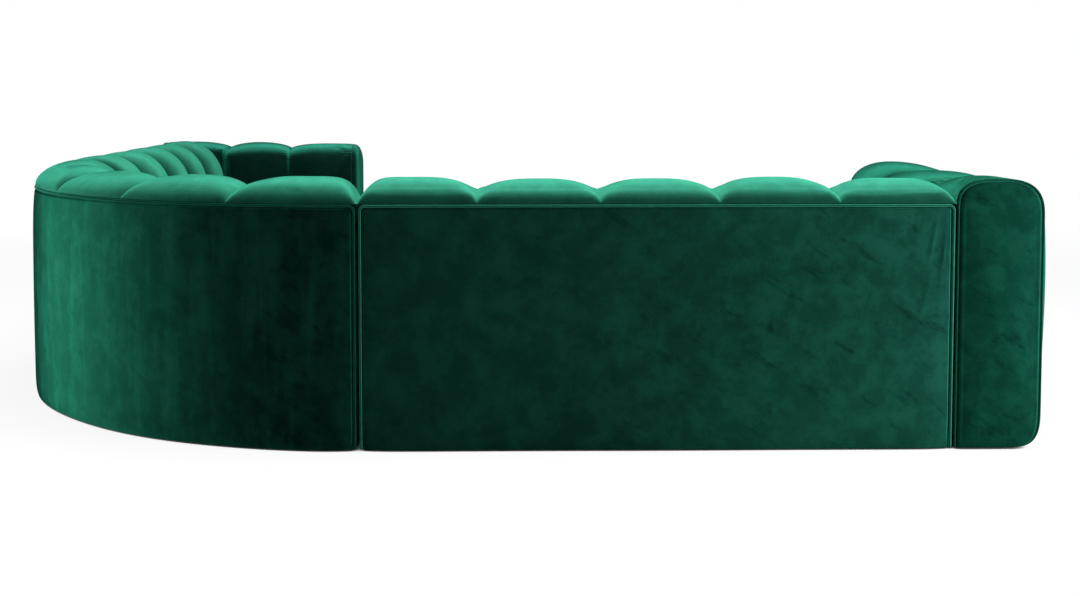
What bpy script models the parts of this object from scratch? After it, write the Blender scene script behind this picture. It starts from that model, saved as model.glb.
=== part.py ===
"""Modular corner sofa: two armed end modules that push onto a quarter-round corner module.

Metres, +Z up, origin on the floor at the middle of the square footprint. The seats face -Y and -X.
Every module is drawn in run coordinates: a station along the run, a depth in from the outside
back and a height above the floor. A module's point function carries these into the room.
"""
import math

import bmesh
import bpy
from mathutils import Vector

# Runs and modules
RUN_CHANNELS = 5            # channels along the back of an end module
CORNER_CHANNELS = 5         # channels round the corner module
ARM_CHANNELS = 3            # channels along an arm
CHANNEL_PITCH = 0.320       # from crease to crease on a straight back
DEPTH = 0.920               # from the outside back to the seat front
HEIGHT = 0.730              # to the crest of the back's channels and of the arms
FRONT_RADIUS = 0.240        # radius of the corner's hollow seat front
ARM_WIDTH = 0.240

# Upholstered back
ROLL_RISE = 0.065           # from the piping up to the crest of a channel
ROLL_CREST = 0.145          # from the outside back in to the crest
SHOULDER_DROP = 0.170       # from the crest down to the fullest part of the inside back
BACK_THICKNESS = 0.285      # outside back to the fullest part of the inside back
BACK_TAPER = 0.022          # how much thinner the inside back is at its foot
CREASE_DEPTH = 0.040        # crest to crease
PANEL_THICKNESS = 0.018     # padded outer panels
PANEL_CROWN = 0.004         # swell of a padded panel over its edges
PIPING_RADIUS = 0.005
PIPING_TURN = 0.020         # radius of the piping's turn at a panel corner
PIPING_END_ROOM = 0.00125   # beside the end of the arm's piping at the floor
SEAM_HALF_GAP = 0.005       # panels stand this far from the plane between two modules
PAD_GAP = 0.002             # padding stands this far from its neighbour

# Arm
ARM_INNER_RADIUS = 0.060    # round of the arm's top towards the seat
ARM_OUTER_RADIUS = 0.118    # round of the arm's top towards the outside
ARM_FOOT_RADIUS = 0.060     # round of the arm's outer foot
ARM_PAD = 0.058             # padding between the end of the back and the arm frame
ARM_OVERHANG = 0.058        # padding past the end of the back, in front of it
ARM_BLEND = 0.035           # depth over which it fills out
ARM_FRAME_DROP = 0.030      # arm frame top under the outer piping
ARM_CREASE_DEPTH = 0.020    # arm top to crease
ARM_FRONT_ROUND = 0.036     # radius of the arm front's rounded edge

# Seat
SEAT_HEIGHT = 0.420         # at the seat's edge
SEAT_CROWN = 0.022          # swell of the middle over the edge
SEAT_TUCK = 0.008           # room between the seat and the foot of the inside back
SEAT_CORNER = 0.035         # radius of the seat's corners in plan
SEAT_DRAW = 0.007           # how far the sides draw in between the corners
SEAT_EDGE = 0.022           # height of the rounded edge of the seat
FRONT_SETBACK = 0.003       # front border behind the seat front
FRONT_PAD = 0.040           # from the frames to the seat front: padded arm front and front border

# Frames
BASE_TOP = 0.200
RAIL = 0.028                # rail thickness
BACK_FRAME_DEPTH = 0.100
BACK_FRAME_DROP = 0.040     # frame top under the piping
POST = 0.040                # post width
BACK_RAIL_HEIGHT = 0.060
ARM_RAIL_HEIGHT = 0.050
SEAM_PANEL_THICKNESS = 0.006
DUST_COVER_THICKNESS = 0.002
GLIDE_HEIGHT = 0.011
GLIDE_RADIUS = 0.012
GLIDE_CHAMFER = 0.002
PANEL_FLOOR_GAP = 0.005

# Seat webbing
STRAP_WIDTH = 0.060
STRAP_THICKNESS = 0.002
CROSS_STRAPS = 3            # straps along the run, woven through those from back to front

# Connector
STEEL = 0.004               # plate thickness
CONNECTOR_HEIGHT = 0.105
CONNECTOR_WIDTH = 0.060
CONNECTOR_FLANGE = 0.030    # half the height of a fixing flange
CONNECTOR_DEPTH = 0.575     # from the outside back
TONGUE_REACH = 0.058        # past the plane between two modules
TONGUE_CLEARANCE = 0.0006   # around the tongue inside its jaw
JAW_FLARE = 0.005           # opening-out of the jaw at its mouth

FIT = 0.0003                # gap kept between pieces that touch

# Sizes that follow from the ones above
RUN_LENGTH = RUN_CHANNELS * CHANNEL_PITCH
OUTER_RADIUS = FRONT_RADIUS + DEPTH
OVERALL = RUN_LENGTH + ARM_WIDTH + OUTER_RADIUS
BACK_PLANE = OVERALL / 2
SEAM_PLANE = BACK_PLANE - OUTER_RADIUS
BASE_BOTTOM = GLIDE_HEIGHT + DUST_COVER_THICKNESS + 2 * FIT
FRAME_BACK = PANEL_THICKNESS + FIT
FRAME_START = SEAM_HALF_GAP + SEAM_PANEL_THICKNESS + FIT
BASE_BACK = FRAME_BACK + BACK_FRAME_DEPTH + FIT
BASE_FRONT = DEPTH - FRONT_PAD - FIT
BASE_END = RUN_LENGTH + PAD_GAP + ARM_PAD
ROLL_FOOT = HEIGHT - ROLL_RISE
PIPING_HEIGHT = ROLL_FOOT - PIPING_RADIUS - FIT
BACK_FRAME_TOP = PIPING_HEIGHT - BACK_FRAME_DROP
BACK_FOOT = BACK_THICKNESS - BACK_TAPER
SEAT_BACK = BACK_FOOT + SEAT_TUCK
SEAT_BOTTOM = BASE_TOP + STRAP_THICKNESS + 2 * FIT
ARM_FRAME_INNER = BASE_END + FIT
ARM_FRAME_OUTER = RUN_LENGTH + ARM_WIDTH - PANEL_THICKNESS - FIT
ARM_PIPING_HEIGHT = HEIGHT - ARM_OUTER_RADIUS - PIPING_RADIUS - FIT
ARM_FRAME_TOP = ARM_PIPING_HEIGHT - ARM_FRAME_DROP
ARM_FRAME_BOTTOM = PANEL_FLOOR_GAP + ARM_FOOT_RADIUS + PANEL_THICKNESS
PIPING_INSET = SEAM_HALF_GAP + PIPING_RADIUS
PANEL_INSET = PIPING_INSET + PIPING_RADIUS + FIT

# How the samples lie across one channel, from crease to crease, and how round it is
CHANNEL_SAMPLES = (-1.0, -0.88, -0.52, 0.0, 0.52, 0.88)
CHANNEL_POWER = 0.6

# Shares of a crease's pull that are left further down the padding
BELLY_PULL = 0.9
TUCK_PULL = 0.7
WAIST_PULL = 0.8
FOOT_PULL = 0.4
BELLY_FILL = 0.75           # share of the back's taper that is still full at the belly

# Level lines of a seat's rounded edge: inset and height in edges, and share of the draw
SEAT_EDGE_LINES = ((1.0, 0.0, 0.5), (0.3, 0.3, 0.8), (0.0, 1.0, 0.6))
SEAT_WAIST_DRAW = 0.2
# Level lines of its crown: inset in edges and share of the crown
SEAT_CROWN_LINES = ((3.0, 0.55), (7.0, 1.0))

# Facets
ARC_STEPS = 6
TURN_STEPS = 3
SEAT_SIDE_STEPS = 10
SEAT_END_STEPS = 5
PANEL_ROWS = 4
CORNER_BORDER_STEPS = 8
CORNER_BAY_STEPS = 5
GLIDE_SIDES = 12
SMOOTH_ANGLE = math.radians(35)

# Colour, roughness and metallic value of each finish
FINISHES = {
    "velvet": ((0.010, 0.105, 0.066), 0.72, 0.0),
    "velvet_roll": ((0.022, 0.205, 0.135), 0.66, 0.0),
    "timber": ((0.520, 0.360, 0.210), 0.62, 0.0),
    "steel": ((0.560, 0.570, 0.580), 0.32, 1.0),
    "cloth": ((0.020, 0.020, 0.022), 0.90, 0.0),
    "plastic": ((0.015, 0.015, 0.016), 0.45, 0.0),
}


def remove_everything():
    """Start from an empty scene."""
    for item in list(bpy.data.objects):
        bpy.data.objects.remove(item, do_unlink=True)


def finish_material(name, finish):
    """A Principled material for one piece."""
    colour, roughness, metallic = FINISHES[finish]
    material = bpy.data.materials.new(name)
    material.use_nodes = True
    shader = material.node_tree.nodes["Principled BSDF"]
    shader.inputs["Base Color"].default_value = (*colour, 1.0)
    shader.inputs["Roughness"].default_value = roughness
    shader.inputs["Metallic"].default_value = metallic
    material.diffuse_color = (*colour, 1.0)
    return material


# Run coordinates of each module

def straight_point(station, depth, height):
    """The straight module runs along -X from the seam, its outside back on the +Y side."""
    return Vector((SEAM_PLANE - station, BACK_PLANE - depth, height))


def wing_point(station, depth, height):
    """The wing mirrors the straight module: it runs along -Y, its outside back on the +X side."""
    return Vector((BACK_PLANE - depth, SEAM_PLANE - station, height))


def corner_point(station, depth, height):
    """The corner turns about the crossing of both seam planes; a station gives its angle at a radius."""
    radius = OUTER_RADIUS - depth
    angle = station(radius)
    return Vector((SEAM_PLANE + radius * math.sin(angle), SEAM_PLANE + radius * math.cos(angle), height))


def run_station(fraction, inset):
    """Station on a straight run, with both of its ends drawn in by the inset."""
    return inset + fraction * (RUN_LENGTH - 2 * inset)


def seat_station(fraction, inset):
    """Station on a straight run that stops short of the arm's overhang."""
    return inset + fraction * (RUN_LENGTH - ARM_OVERHANG - 2 * inset)


def corner_spread(fraction, inset):
    """Station round the corner, spread between ends that stay parallel to the seam planes at the inset."""
    def angle(radius):
        edge = math.asin(inset / radius)
        return edge + fraction * (math.pi / 2 - 2 * edge)
    return angle


def corner_station(fraction, inset):
    """Station on a fixed radial line, kept off the seam planes by the inset, so that facets line up."""
    def angle(radius):
        edge = math.asin(inset / radius)
        return min(max(fraction * math.pi / 2, edge), math.pi / 2 - edge)
    return angle


# Mesh tools

def add_piece(name, data, finish, parent):
    """Wrap mesh or curve data, drawn in the room, as a named piece under its module's empty."""
    data.materials.append(finish_material(name, finish))
    piece = bpy.data.objects.new(name, data)
    bpy.context.scene.collection.objects.link(piece)
    piece.parent = parent
    return piece


def mesh_piece(name, bm, finish, parent, smooth=False):
    """Close a bmesh into a piece: outward faces, place relative to the module's empty."""
    bmesh.ops.recalc_face_normals(bm, faces=bm.faces[:])
    bmesh.ops.translate(bm, verts=bm.verts[:], vec=-parent.location)
    mesh = bpy.data.meshes.new(name)
    bm.to_mesh(mesh)
    bm.free()
    if smooth:
        mesh.shade_smooth()
        mesh.set_sharp_from_angle(angle=SMOOTH_ANGLE)
    return add_piece(name, mesh, finish, parent)


def add_loft(bm, rings):
    """Skin a row of closed rings and cap both ends."""
    loops = [[bm.verts.new(point) for point in ring] for ring in rings]
    count = len(loops[0])
    for near, far in zip(loops, loops[1:]):
        for index in range(count):
            following = (index + 1) % count
            bm.faces.new((near[index], near[following], far[following], far[index]))
    bm.faces.new(loops[0])
    bm.faces.new(list(reversed(loops[-1])))


def loft(rings):
    """A bmesh of one row of rings, skinned and capped."""
    bm = bmesh.new()
    add_loft(bm, rings)
    return bm


def prism(point, outline, ends, along):
    """Rings of an outline carried along the station or the depth, from one end to the other."""
    place = {
        "station": lambda first, second, third: point(third, first, second),
        "depth": lambda first, second, third: point(first, third, second),
    }[along]
    return [[place(first, second, end) for first, second in outline] for end in ends]


def windowed_frame(point, across, along, ends, solid, axes):
    """Frame sawn from a grid: cells that are solid are extruded between two ends.

    axes names the run coordinate that the grid's two directions and the extrusion follow.
    """
    bm = bmesh.new()
    corners = {}

    def corner(i, j, k):
        if (i, j, k) not in corners:
            value = dict(zip(axes, (across[i], along[j], ends[k])))
            corners[i, j, k] = bm.verts.new(point(value["station"], value["depth"], value["height"]))
        return corners[i, j, k]

    def filled(i, j):
        return 0 <= i < len(across) - 1 and 0 <= j < len(along) - 1 and solid(i, j)

    for i in range(len(across) - 1):
        for j in range(len(along) - 1):
            if not filled(i, j):
                continue
            for k in (0, 1):
                bm.faces.new([corner(a, b, k) for a, b in ((i, j), (i + 1, j), (i + 1, j + 1), (i, j + 1))])
            sides = (((i - 1, j), (i, j), (i, j + 1)), ((i + 1, j), (i + 1, j), (i + 1, j + 1)),
                     ((i, j - 1), (i, j), (i + 1, j)), ((i, j + 1), (i, j + 1), (i + 1, j + 1)))
            for neighbour, start, end in sides:
                if not filled(*neighbour):
                    bm.faces.new((corner(*start, 0), corner(*end, 0), corner(*end, 1), corner(*start, 1)))
    return bm


def add_turned(bm, foot, profile, sides):
    """Lathe a row of (height, radius) pairs about the upright through the foot."""
    rings = []
    for height, radius in profile:
        ring = []
        for side in range(sides):
            angle = 2 * math.pi * side / sides
            ring.append(foot + Vector((radius * math.cos(angle), radius * math.sin(angle), height)))
        rings.append(ring)
    add_loft(bm, rings)


def tube_piece(name, path, radius, resolution, finish, parent):
    """Round cord along one open path."""
    curve = bpy.data.curves.new(name, "CURVE")
    curve.dimensions = "3D"
    curve.bevel_depth = radius
    curve.bevel_resolution = resolution
    curve.use_fill_caps = True
    spline = curve.splines.new("POLY")
    spline.points.add(len(path) - 1)
    for knot, place in zip(spline.points, path):
        knot.co = (*(place - parent.location), 1.0)
    return add_piece(name, curve, finish, parent)


def arc(centre, radii, start, end, steps=ARC_STEPS):
    """Points of an elliptical arc in a section, angles in degrees."""
    points = []
    for step in range(steps + 1):
        angle = math.radians(start + (end - start) * step / steps)
        points.append((centre[0] + radii[0] * math.cos(angle), centre[1] + radii[1] * math.sin(angle)))
    return points


def even_steps(count):
    """Fractions from 0 to 1 in equal steps."""
    return [step / count for step in range(count + 1)]


def quarter_turn(radius):
    """(along, across) pairs of a rounded corner, from its first edge to its second."""
    angles = [math.pi / 2 * fraction for fraction in even_steps(TURN_STEPS)]
    return [(radius * (1 - math.cos(angle)), radius * (1 - math.sin(angle))) for angle in angles]


# Padded channels

def channel_samples(count):
    """(fraction along the run, fullness) across a row of channels; fullness is 0 in a crease."""
    samples = []
    for channel in range(count):
        for across in CHANNEL_SAMPLES:
            fullness = (1 - across * across) ** CHANNEL_POWER
            samples.append(((channel + (across + 1) / 2) / count, fullness))
    samples.append((1.0, 0.0))
    return samples


def back_section(fullness):
    """Section of the back padding as (depth, height): over the crest, down the inside, round the frame."""
    pull = CREASE_DEPTH * (1 - fullness)
    shoulder = HEIGHT - SHOULDER_DROP
    outer = arc((ROLL_CREST, ROLL_FOOT), (ROLL_CREST - PIPING_RADIUS, ROLL_RISE - pull), 180, 90)
    inner = arc((ROLL_CREST, shoulder),
                (BACK_THICKNESS - ROLL_CREST - pull, SHOULDER_DROP - pull), 90, 0)
    belly = (BACK_FOOT + BACK_TAPER * BELLY_FILL - pull * BELLY_PULL, (shoulder + SEAT_HEIGHT) / 2)
    tuck = (BACK_FOOT - pull * TUCK_PULL, SEAT_HEIGHT)
    foot = (BACK_FOOT - pull * FOOT_PULL, BASE_TOP + FIT)
    under = [(BASE_BACK, BASE_TOP + FIT), (BASE_BACK, BACK_FRAME_TOP + FIT),
             (FRAME_BACK, BACK_FRAME_TOP + FIT), (FRAME_BACK, ROLL_FOOT)]
    return outer + inner[1:] + [belly, tuck, foot] + under


def back_channels(name, point, station, count, parent):
    """Padded channels of one module, lofted from section to section along its run."""
    rings = []
    for fraction, fullness in channel_samples(count):
        place = station(fraction, PAD_GAP)
        rings.append([point(place, depth, height) for depth, height in back_section(fullness)])
    return mesh_piece(name, loft(rings), "velvet_roll", parent, smooth=True)


def arm_inner_round(overhang, cut):
    """Round of the arm's top towards the seat, cut down by a pull or an inset."""
    centre = (RUN_LENGTH + PAD_GAP - overhang + ARM_INNER_RADIUS, HEIGHT - ARM_INNER_RADIUS)
    return arc(centre, (ARM_INNER_RADIUS - cut, ARM_INNER_RADIUS - cut), 180, 90)


def arm_outline(inset, lift, overhang):
    """D-shaped outline of the arm's end as (station, height); lift raises its foot off the floor gap."""
    inner = RUN_LENGTH + PAD_GAP - overhang
    outer = RUN_LENGTH + ARM_WIDTH
    foot = PANEL_FLOOR_GAP
    top_outer = arc((outer - ARM_OUTER_RADIUS, HEIGHT - ARM_OUTER_RADIUS),
                    (ARM_OUTER_RADIUS - inset, ARM_OUTER_RADIUS - inset), 90, 0)
    foot_outer = arc((outer - ARM_FOOT_RADIUS, foot + ARM_FOOT_RADIUS),
                     (ARM_FOOT_RADIUS - inset, ARM_FOOT_RADIUS - lift), 0, -90)
    return [(inner + inset, foot)] + arm_inner_round(overhang, inset) + top_outer + foot_outer


def arm_section(fullness, overhang):
    """Section of the arm padding as (station, height), from the seat over the top to the outer piping."""
    pull = ARM_CREASE_DEPTH * (1 - fullness)
    inner = RUN_LENGTH + PAD_GAP - overhang
    outer = RUN_LENGTH + ARM_WIDTH
    outer_round = arc((outer - ARM_OUTER_RADIUS, HEIGHT - ARM_OUTER_RADIUS),
                      (ARM_OUTER_RADIUS, ARM_OUTER_RADIUS - pull), 90, 0)
    waist = (inner + pull * WAIST_PULL, (HEIGHT + BASE_TOP) / 2)
    foot = (inner + pull * FOOT_PULL, SEAT_BOTTOM)
    under = [(ARM_FRAME_OUTER, HEIGHT - ARM_OUTER_RADIUS), (ARM_FRAME_OUTER, ARM_FRAME_TOP + FIT),
             (BASE_END, ARM_FRAME_TOP + FIT), (BASE_END, SEAT_BOTTOM)]
    return [foot, waist] + arm_inner_round(overhang, pull) + outer_round + under


def arm_overhang(depth):
    """Overhang of the arm padding: none beside the back, filled out in front of it."""
    share = (depth - BACK_THICKNESS - PAD_GAP) / ARM_BLEND
    return ARM_OVERHANG * min(max(share, 0.0), 1.0)


def arm_channels(name, point, parent):
    """Padded channels of an arm, lofted from its back panel to its front panel."""
    rings = []
    for fraction, fullness in channel_samples(ARM_CHANNELS):
        depth = FRAME_BACK + fraction * (BASE_FRONT - FRAME_BACK)
        section = arm_section(fullness, arm_overhang(depth))
        rings.append([point(across, depth, height) for across, height in section])
    return mesh_piece(name, loft(rings), "velvet_roll", parent, smooth=True)


def seat_ring(point, station, inset, height, drawn):
    """One closed level line of a seat: rounded corners, sides drawn in between them."""
    back = SEAT_BACK + inset
    front = DEPTH - inset
    edge = PAD_GAP + inset

    def draw(fraction):
        return drawn * SEAT_DRAW * math.sin(math.pi * fraction)

    def turn(end, depth, towards):
        """Corner of the level line, from its end edge to its long edge."""
        return [point(station(end, edge + along), depth + towards * across, height)
                for along, across in quarter_turn(SEAT_CORNER)]

    def long_edge(depth, towards):
        fractions = even_steps(SEAT_SIDE_STEPS)[1:-1]
        return [point(station(fraction, edge + SEAT_CORNER), depth + towards * draw(fraction), height)
                for fraction in fractions]

    def end_edge(end):
        reach = front - back - 2 * SEAT_CORNER
        fractions = even_steps(SEAT_END_STEPS)[1:-1]
        return [point(station(end, edge + draw(fraction)), back + SEAT_CORNER + fraction * reach, height)
                for fraction in fractions]

    return (turn(0, back, 1) + long_edge(back, 1) + turn(1, back, 1)[::-1] + end_edge(1)
            + turn(1, front, -1) + long_edge(front, -1)[::-1] + turn(0, front, -1)[::-1] + end_edge(0)[::-1])


def seat_cushion(name, point, station, parent):
    """Seat built up from level lines: rounded edges, drawn-in sides and a crowned top."""
    under = [(inset * SEAT_EDGE, SEAT_BOTTOM + rise * SEAT_EDGE, drawn)
             for inset, rise, drawn in SEAT_EDGE_LINES]
    waist = [(0.0, (SEAT_BOTTOM + SEAT_HEIGHT) / 2, SEAT_WAIST_DRAW)]
    over = [(inset * SEAT_EDGE, SEAT_HEIGHT - rise * SEAT_EDGE, drawn)
            for inset, rise, drawn in reversed(SEAT_EDGE_LINES)]
    crown = [(inset * SEAT_EDGE, SEAT_HEIGHT + share * SEAT_CROWN, 0.0) for inset, share in SEAT_CROWN_LINES]
    rings = [seat_ring(point, station, *line) for line in under + waist + over + crown]
    return mesh_piece(name, loft(rings), "velvet", parent, smooth=True)


# Outer panels and piping

def outside_back(name, point, station, fractions, parent):
    """Padded back panel with a slight swell, its top corners rounded inside the piping."""
    turn = quarter_turn(PIPING_TURN - PIPING_RADIUS - FIT)
    stations = [(station(0, PANEL_INSET + along), drop, 0.0) for along, drop in turn]
    stations += [(station(fraction, PANEL_INSET), 0.0, math.sin(math.pi * fraction))
                 for fraction in fractions]
    stations += [(station(1, PANEL_INSET + along), drop, 0.0) for along, drop in reversed(turn)]
    rings = []
    for place, drop, swell in stations:
        top = PIPING_HEIGHT - PIPING_RADIUS - FIT - drop
        ring = []
        for rise in even_steps(PANEL_ROWS):
            bulge = math.sqrt(max(0.0, swell * math.sin(math.pi * rise)))
            height = PANEL_FLOOR_GAP + rise * (top - PANEL_FLOOR_GAP)
            ring.append(point(place, PANEL_CROWN * (1 - bulge), height))
        ring += [point(place, PANEL_THICKNESS, top), point(place, PANEL_THICKNESS, PANEL_FLOOR_GAP)]
        rings.append(ring)
    return mesh_piece(name, loft(rings), "velvet", parent, smooth=True)


def back_piping(name, point, station, fractions, parent):
    """Piping up one edge of the outside back, along its top and down the other edge."""
    turn = quarter_turn(PIPING_TURN)
    depth = PIPING_RADIUS
    path = [point(station(0, PIPING_INSET), depth, PANEL_FLOOR_GAP)]
    path += [point(station(0, PIPING_INSET + along), depth, PIPING_HEIGHT - drop) for along, drop in turn]
    path += [point(station(fraction, PIPING_INSET), depth, PIPING_HEIGHT) for fraction in fractions]
    path += [point(station(1, PIPING_INSET + along), depth, PIPING_HEIGHT - drop)
             for along, drop in reversed(turn)]
    path.append(point(station(1, PIPING_INSET), depth, PANEL_FLOOR_GAP))
    return tube_piece(name, path, PIPING_RADIUS, 1, "velvet_roll", parent)


def arm_back_panel(name, point, parent):
    """D-shaped panel on the back end of an arm, inside its piping."""
    inset = 2 * PIPING_RADIUS + FIT
    outline = arm_outline(inset, inset, 0.0)
    piping_end = outline[-1][0] - PIPING_END_ROOM
    outline += [(piping_end, outline[-1][1]), (piping_end, PANEL_FLOOR_GAP)]
    rings = prism(point, outline, (0.0, PANEL_THICKNESS), "depth")
    return mesh_piece(name, loft(rings), "velvet", parent)


def arm_front_panel(name, point, parent):
    """Padded D-shaped front of an arm, its edge rounded over towards the front."""
    sides = [(BASE_FRONT + FIT, 0.0)]
    sides += [(DEPTH - along, across) for along, across in reversed(quarter_turn(ARM_FRONT_ROUND))]
    rings = [[point(across, depth, height) for across, height in arm_outline(inset, 0.0, ARM_OVERHANG)]
             for depth, inset in sides]
    return mesh_piece(name, loft(rings), "velvet", parent, smooth=True)


def arm_outside_panel(name, point, parent):
    """Smooth outer side of the arm: straight down from the piping, turned under at the foot."""
    outer = RUN_LENGTH + ARM_WIDTH
    centre = (outer - ARM_FOOT_RADIUS, PANEL_FLOOR_GAP + ARM_FOOT_RADIUS)
    top = ARM_PIPING_HEIGHT - PIPING_RADIUS - FIT
    skin = [(outer, top)] + arc(centre, (ARM_FOOT_RADIUS, ARM_FOOT_RADIUS), 0, -90)
    inside = ARM_FOOT_RADIUS - PANEL_THICKNESS
    lining = [(outer - PANEL_THICKNESS, top)] + arc(centre, (inside, inside), 0, -90)
    rings = prism(point, skin + lining[::-1], (FRAME_BACK, BASE_FRONT), "depth")
    return mesh_piece(name, loft(rings), "velvet", parent, smooth=True)


def arm_back_piping(name, point, parent):
    """Piping round the D-shaped panel at the back end of an arm."""
    outline = arm_outline(PIPING_RADIUS, PIPING_RADIUS, 0.0)
    path = [point(across, PIPING_RADIUS, height) for across, height in outline]
    return tube_piece(name, path, PIPING_RADIUS, 1, "velvet_roll", parent)


def front_border(name, point, station, steps, parent):
    """Panel under the seat front."""
    rings = []
    front = DEPTH - FRONT_SETBACK
    back = BASE_FRONT + FIT
    for fraction in even_steps(steps):
        place = station(fraction, SEAM_HALF_GAP)
        section = ((back, PANEL_FLOOR_GAP), (front, PANEL_FLOOR_GAP), (front, BASE_TOP), (back, BASE_TOP))
        rings.append([point(place, depth, height) for depth, height in section])
    return mesh_piece(name, loft(rings), "velvet", parent, smooth=True)


def seam_panel(name, point, side, parent):
    """L-shaped panel that closes a module where it meets its neighbour; side is +1 or -1 off the seam."""
    outline = ((FRAME_BACK, BASE_BOTTOM), (BASE_FRONT, BASE_BOTTOM), (BASE_FRONT, BASE_TOP),
               (BASE_BACK - FIT, BASE_TOP), (BASE_BACK - FIT, BACK_FRAME_TOP), (FRAME_BACK, BACK_FRAME_TOP))
    ends = (side * SEAM_HALF_GAP, side * (SEAM_HALF_GAP + SEAM_PANEL_THICKNESS))
    return mesh_piece(name, loft(prism(point, outline, ends, "station")), "velvet", parent)


# Frames, webbing and floor pieces

def facet_sag(radius, step):
    """How far the middle of a facet lies inside its circle."""
    return radius * (1 - math.cos(step / 2))


def base_depths(back_sag=0.0, front_sag=0.0):
    """Faces of the back rail, the webbing rail and the front rail."""
    back = BASE_BACK + back_sag
    front = BASE_FRONT - front_sag
    return [back, back + RAIL, SEAT_BACK, SEAT_BACK + RAIL, front - RAIL, front]


def end_base_frame(name, point, parent):
    """Glued base of an end module: three long rails, two end rails and a cross rail."""
    middle = RUN_LENGTH / 2
    across = [FRAME_START, FRAME_START + RAIL, middle - RAIL / 2, middle + RAIL / 2,
              RUN_LENGTH - RAIL, BASE_END]
    bm = windowed_frame(point, across, base_depths(), (BASE_BOTTOM, BASE_TOP),
                        lambda i, j: i % 2 == 0 or j % 2 == 0, ("station", "depth", "height"))
    return mesh_piece(name, bm, "timber", parent)


def corner_base_frame(name, parent):
    """Glued base of the corner: three curved rails, two end rails and a radial cross rail."""
    steps = CORNER_BAY_STEPS
    half = RAIL / 2

    def cross(side):
        return lambda radius: math.pi / 4 + side * math.asin(half / radius)

    def between(first, second, share):
        return lambda radius: first(radius) + share * (second(radius) - first(radius))

    first_end = [corner_spread(0, FRAME_START), corner_spread(0, FRAME_START + RAIL)]
    last_end = [corner_spread(1, FRAME_START + RAIL), corner_spread(1, FRAME_START)]
    first_bay = [between(first_end[1], cross(-1), step / steps) for step in range(1, steps)]
    last_bay = [between(cross(1), last_end[0], step / steps) for step in range(1, steps)]
    across = first_end + first_bay + [cross(-1), cross(1)] + last_bay + last_end
    radial = (0, steps + 1, 2 * steps + 2)
    step = math.pi / 4 / steps
    depths = base_depths(facet_sag(OUTER_RADIUS - BASE_BACK, step),
                         facet_sag(OUTER_RADIUS - BASE_FRONT, step))
    bm = windowed_frame(corner_point, across, depths, (BASE_BOTTOM, BASE_TOP),
                        lambda i, j: i in radial or j % 2 == 0, ("station", "depth", "height"))
    return mesh_piece(name, bm, "timber", parent)


def back_heights():
    """Faces of the bottom, middle and top rail of a back frame."""
    middle = (BASE_TOP + BACK_FRAME_TOP) / 2
    half = BACK_RAIL_HEIGHT / 2
    return [BASE_BOTTOM, BASE_TOP, middle - half, middle + half,
            BACK_FRAME_TOP - BACK_RAIL_HEIGHT, BACK_FRAME_TOP]


def end_back_frame(name, point, parent):
    """Back frame of an end module, with a post behind every crease."""
    end = RUN_LENGTH - FIT
    across = [FRAME_START, FRAME_START + POST]
    for crease in range(1, RUN_CHANNELS):
        across += [crease * CHANNEL_PITCH - POST / 2, crease * CHANNEL_PITCH + POST / 2]
    across += [end - POST, end]
    bm = windowed_frame(point, across, back_heights(), (FRAME_BACK, FRAME_BACK + BACK_FRAME_DEPTH),
                        lambda i, j: i % 2 == 0 or j % 2 == 0, ("station", "height", "depth"))
    return mesh_piece(name, bm, "timber", parent)


def corner_back_frame(name, parent):
    """Curved back frame of the corner, with a post behind every crease and a wider one at each end."""
    across = [corner_station(fraction, FRAME_START) for fraction, _ in channel_samples(CORNER_CHANNELS)]
    cells = len(CHANNEL_SAMPLES)
    last = CORNER_CHANNELS * cells - 1

    def solid(i, j):
        return j % 2 == 0 or i % cells in (0, cells - 1) or i in (1, last - 1)

    bm = windowed_frame(corner_point, across, back_heights(), (FRAME_BACK, FRAME_BACK + BACK_FRAME_DEPTH),
                        solid, ("station", "height", "depth"))
    return mesh_piece(name, bm, "timber", parent)


def arm_frame(name, point, parent):
    """Boxed arm frame with three posts and three rails."""
    middle = (FRAME_BACK + BASE_FRONT) / 2
    depths = [FRAME_BACK, FRAME_BACK + POST, middle - POST / 2, middle + POST / 2,
              BASE_FRONT - POST, BASE_FRONT]
    waist = (ARM_FRAME_BOTTOM + ARM_FRAME_TOP) / 2
    half = ARM_RAIL_HEIGHT / 2
    heights = [ARM_FRAME_BOTTOM, BASE_TOP, waist - half, waist + half,
               ARM_FRAME_TOP - ARM_RAIL_HEIGHT, ARM_FRAME_TOP]
    bm = windowed_frame(point, depths, heights, (ARM_FRAME_INNER, ARM_FRAME_OUTER),
                        lambda i, j: i % 2 == 0 or j % 2 == 0, ("depth", "height", "station"))
    return mesh_piece(name, bm, "timber", parent)


def strap_lines(low, high, count):
    """Edges of evenly spaced straps between two ends."""
    lines = [low]
    for strap in range(count):
        middle = low + (strap + 0.5) / count * (high - low)
        lines += [middle - STRAP_WIDTH / 2, middle + STRAP_WIDTH / 2]
    return lines + [high]


def seat_webbing(name, point, stations, straps, parent):
    """Elastic straps from rail to rail, drawn as one woven sheet with open squares."""
    depths = strap_lines(SEAT_BACK, BASE_FRONT, CROSS_STRAPS)
    low = BASE_TOP + FIT
    bm = windowed_frame(point, stations, depths, (low, low + STRAP_THICKNESS),
                        lambda i, j: i in straps or j % 2 == 1, ("station", "depth", "height"))
    return mesh_piece(name, bm, "cloth", parent)


def end_webbing(name, point, parent):
    """Webbing of an end module, with a strap under the middle of each channel."""
    stations = strap_lines(FRAME_START, RUN_LENGTH - PAD_GAP, RUN_CHANNELS)
    return seat_webbing(name, point, stations, range(1, 2 * RUN_CHANNELS, 2), parent)


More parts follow.
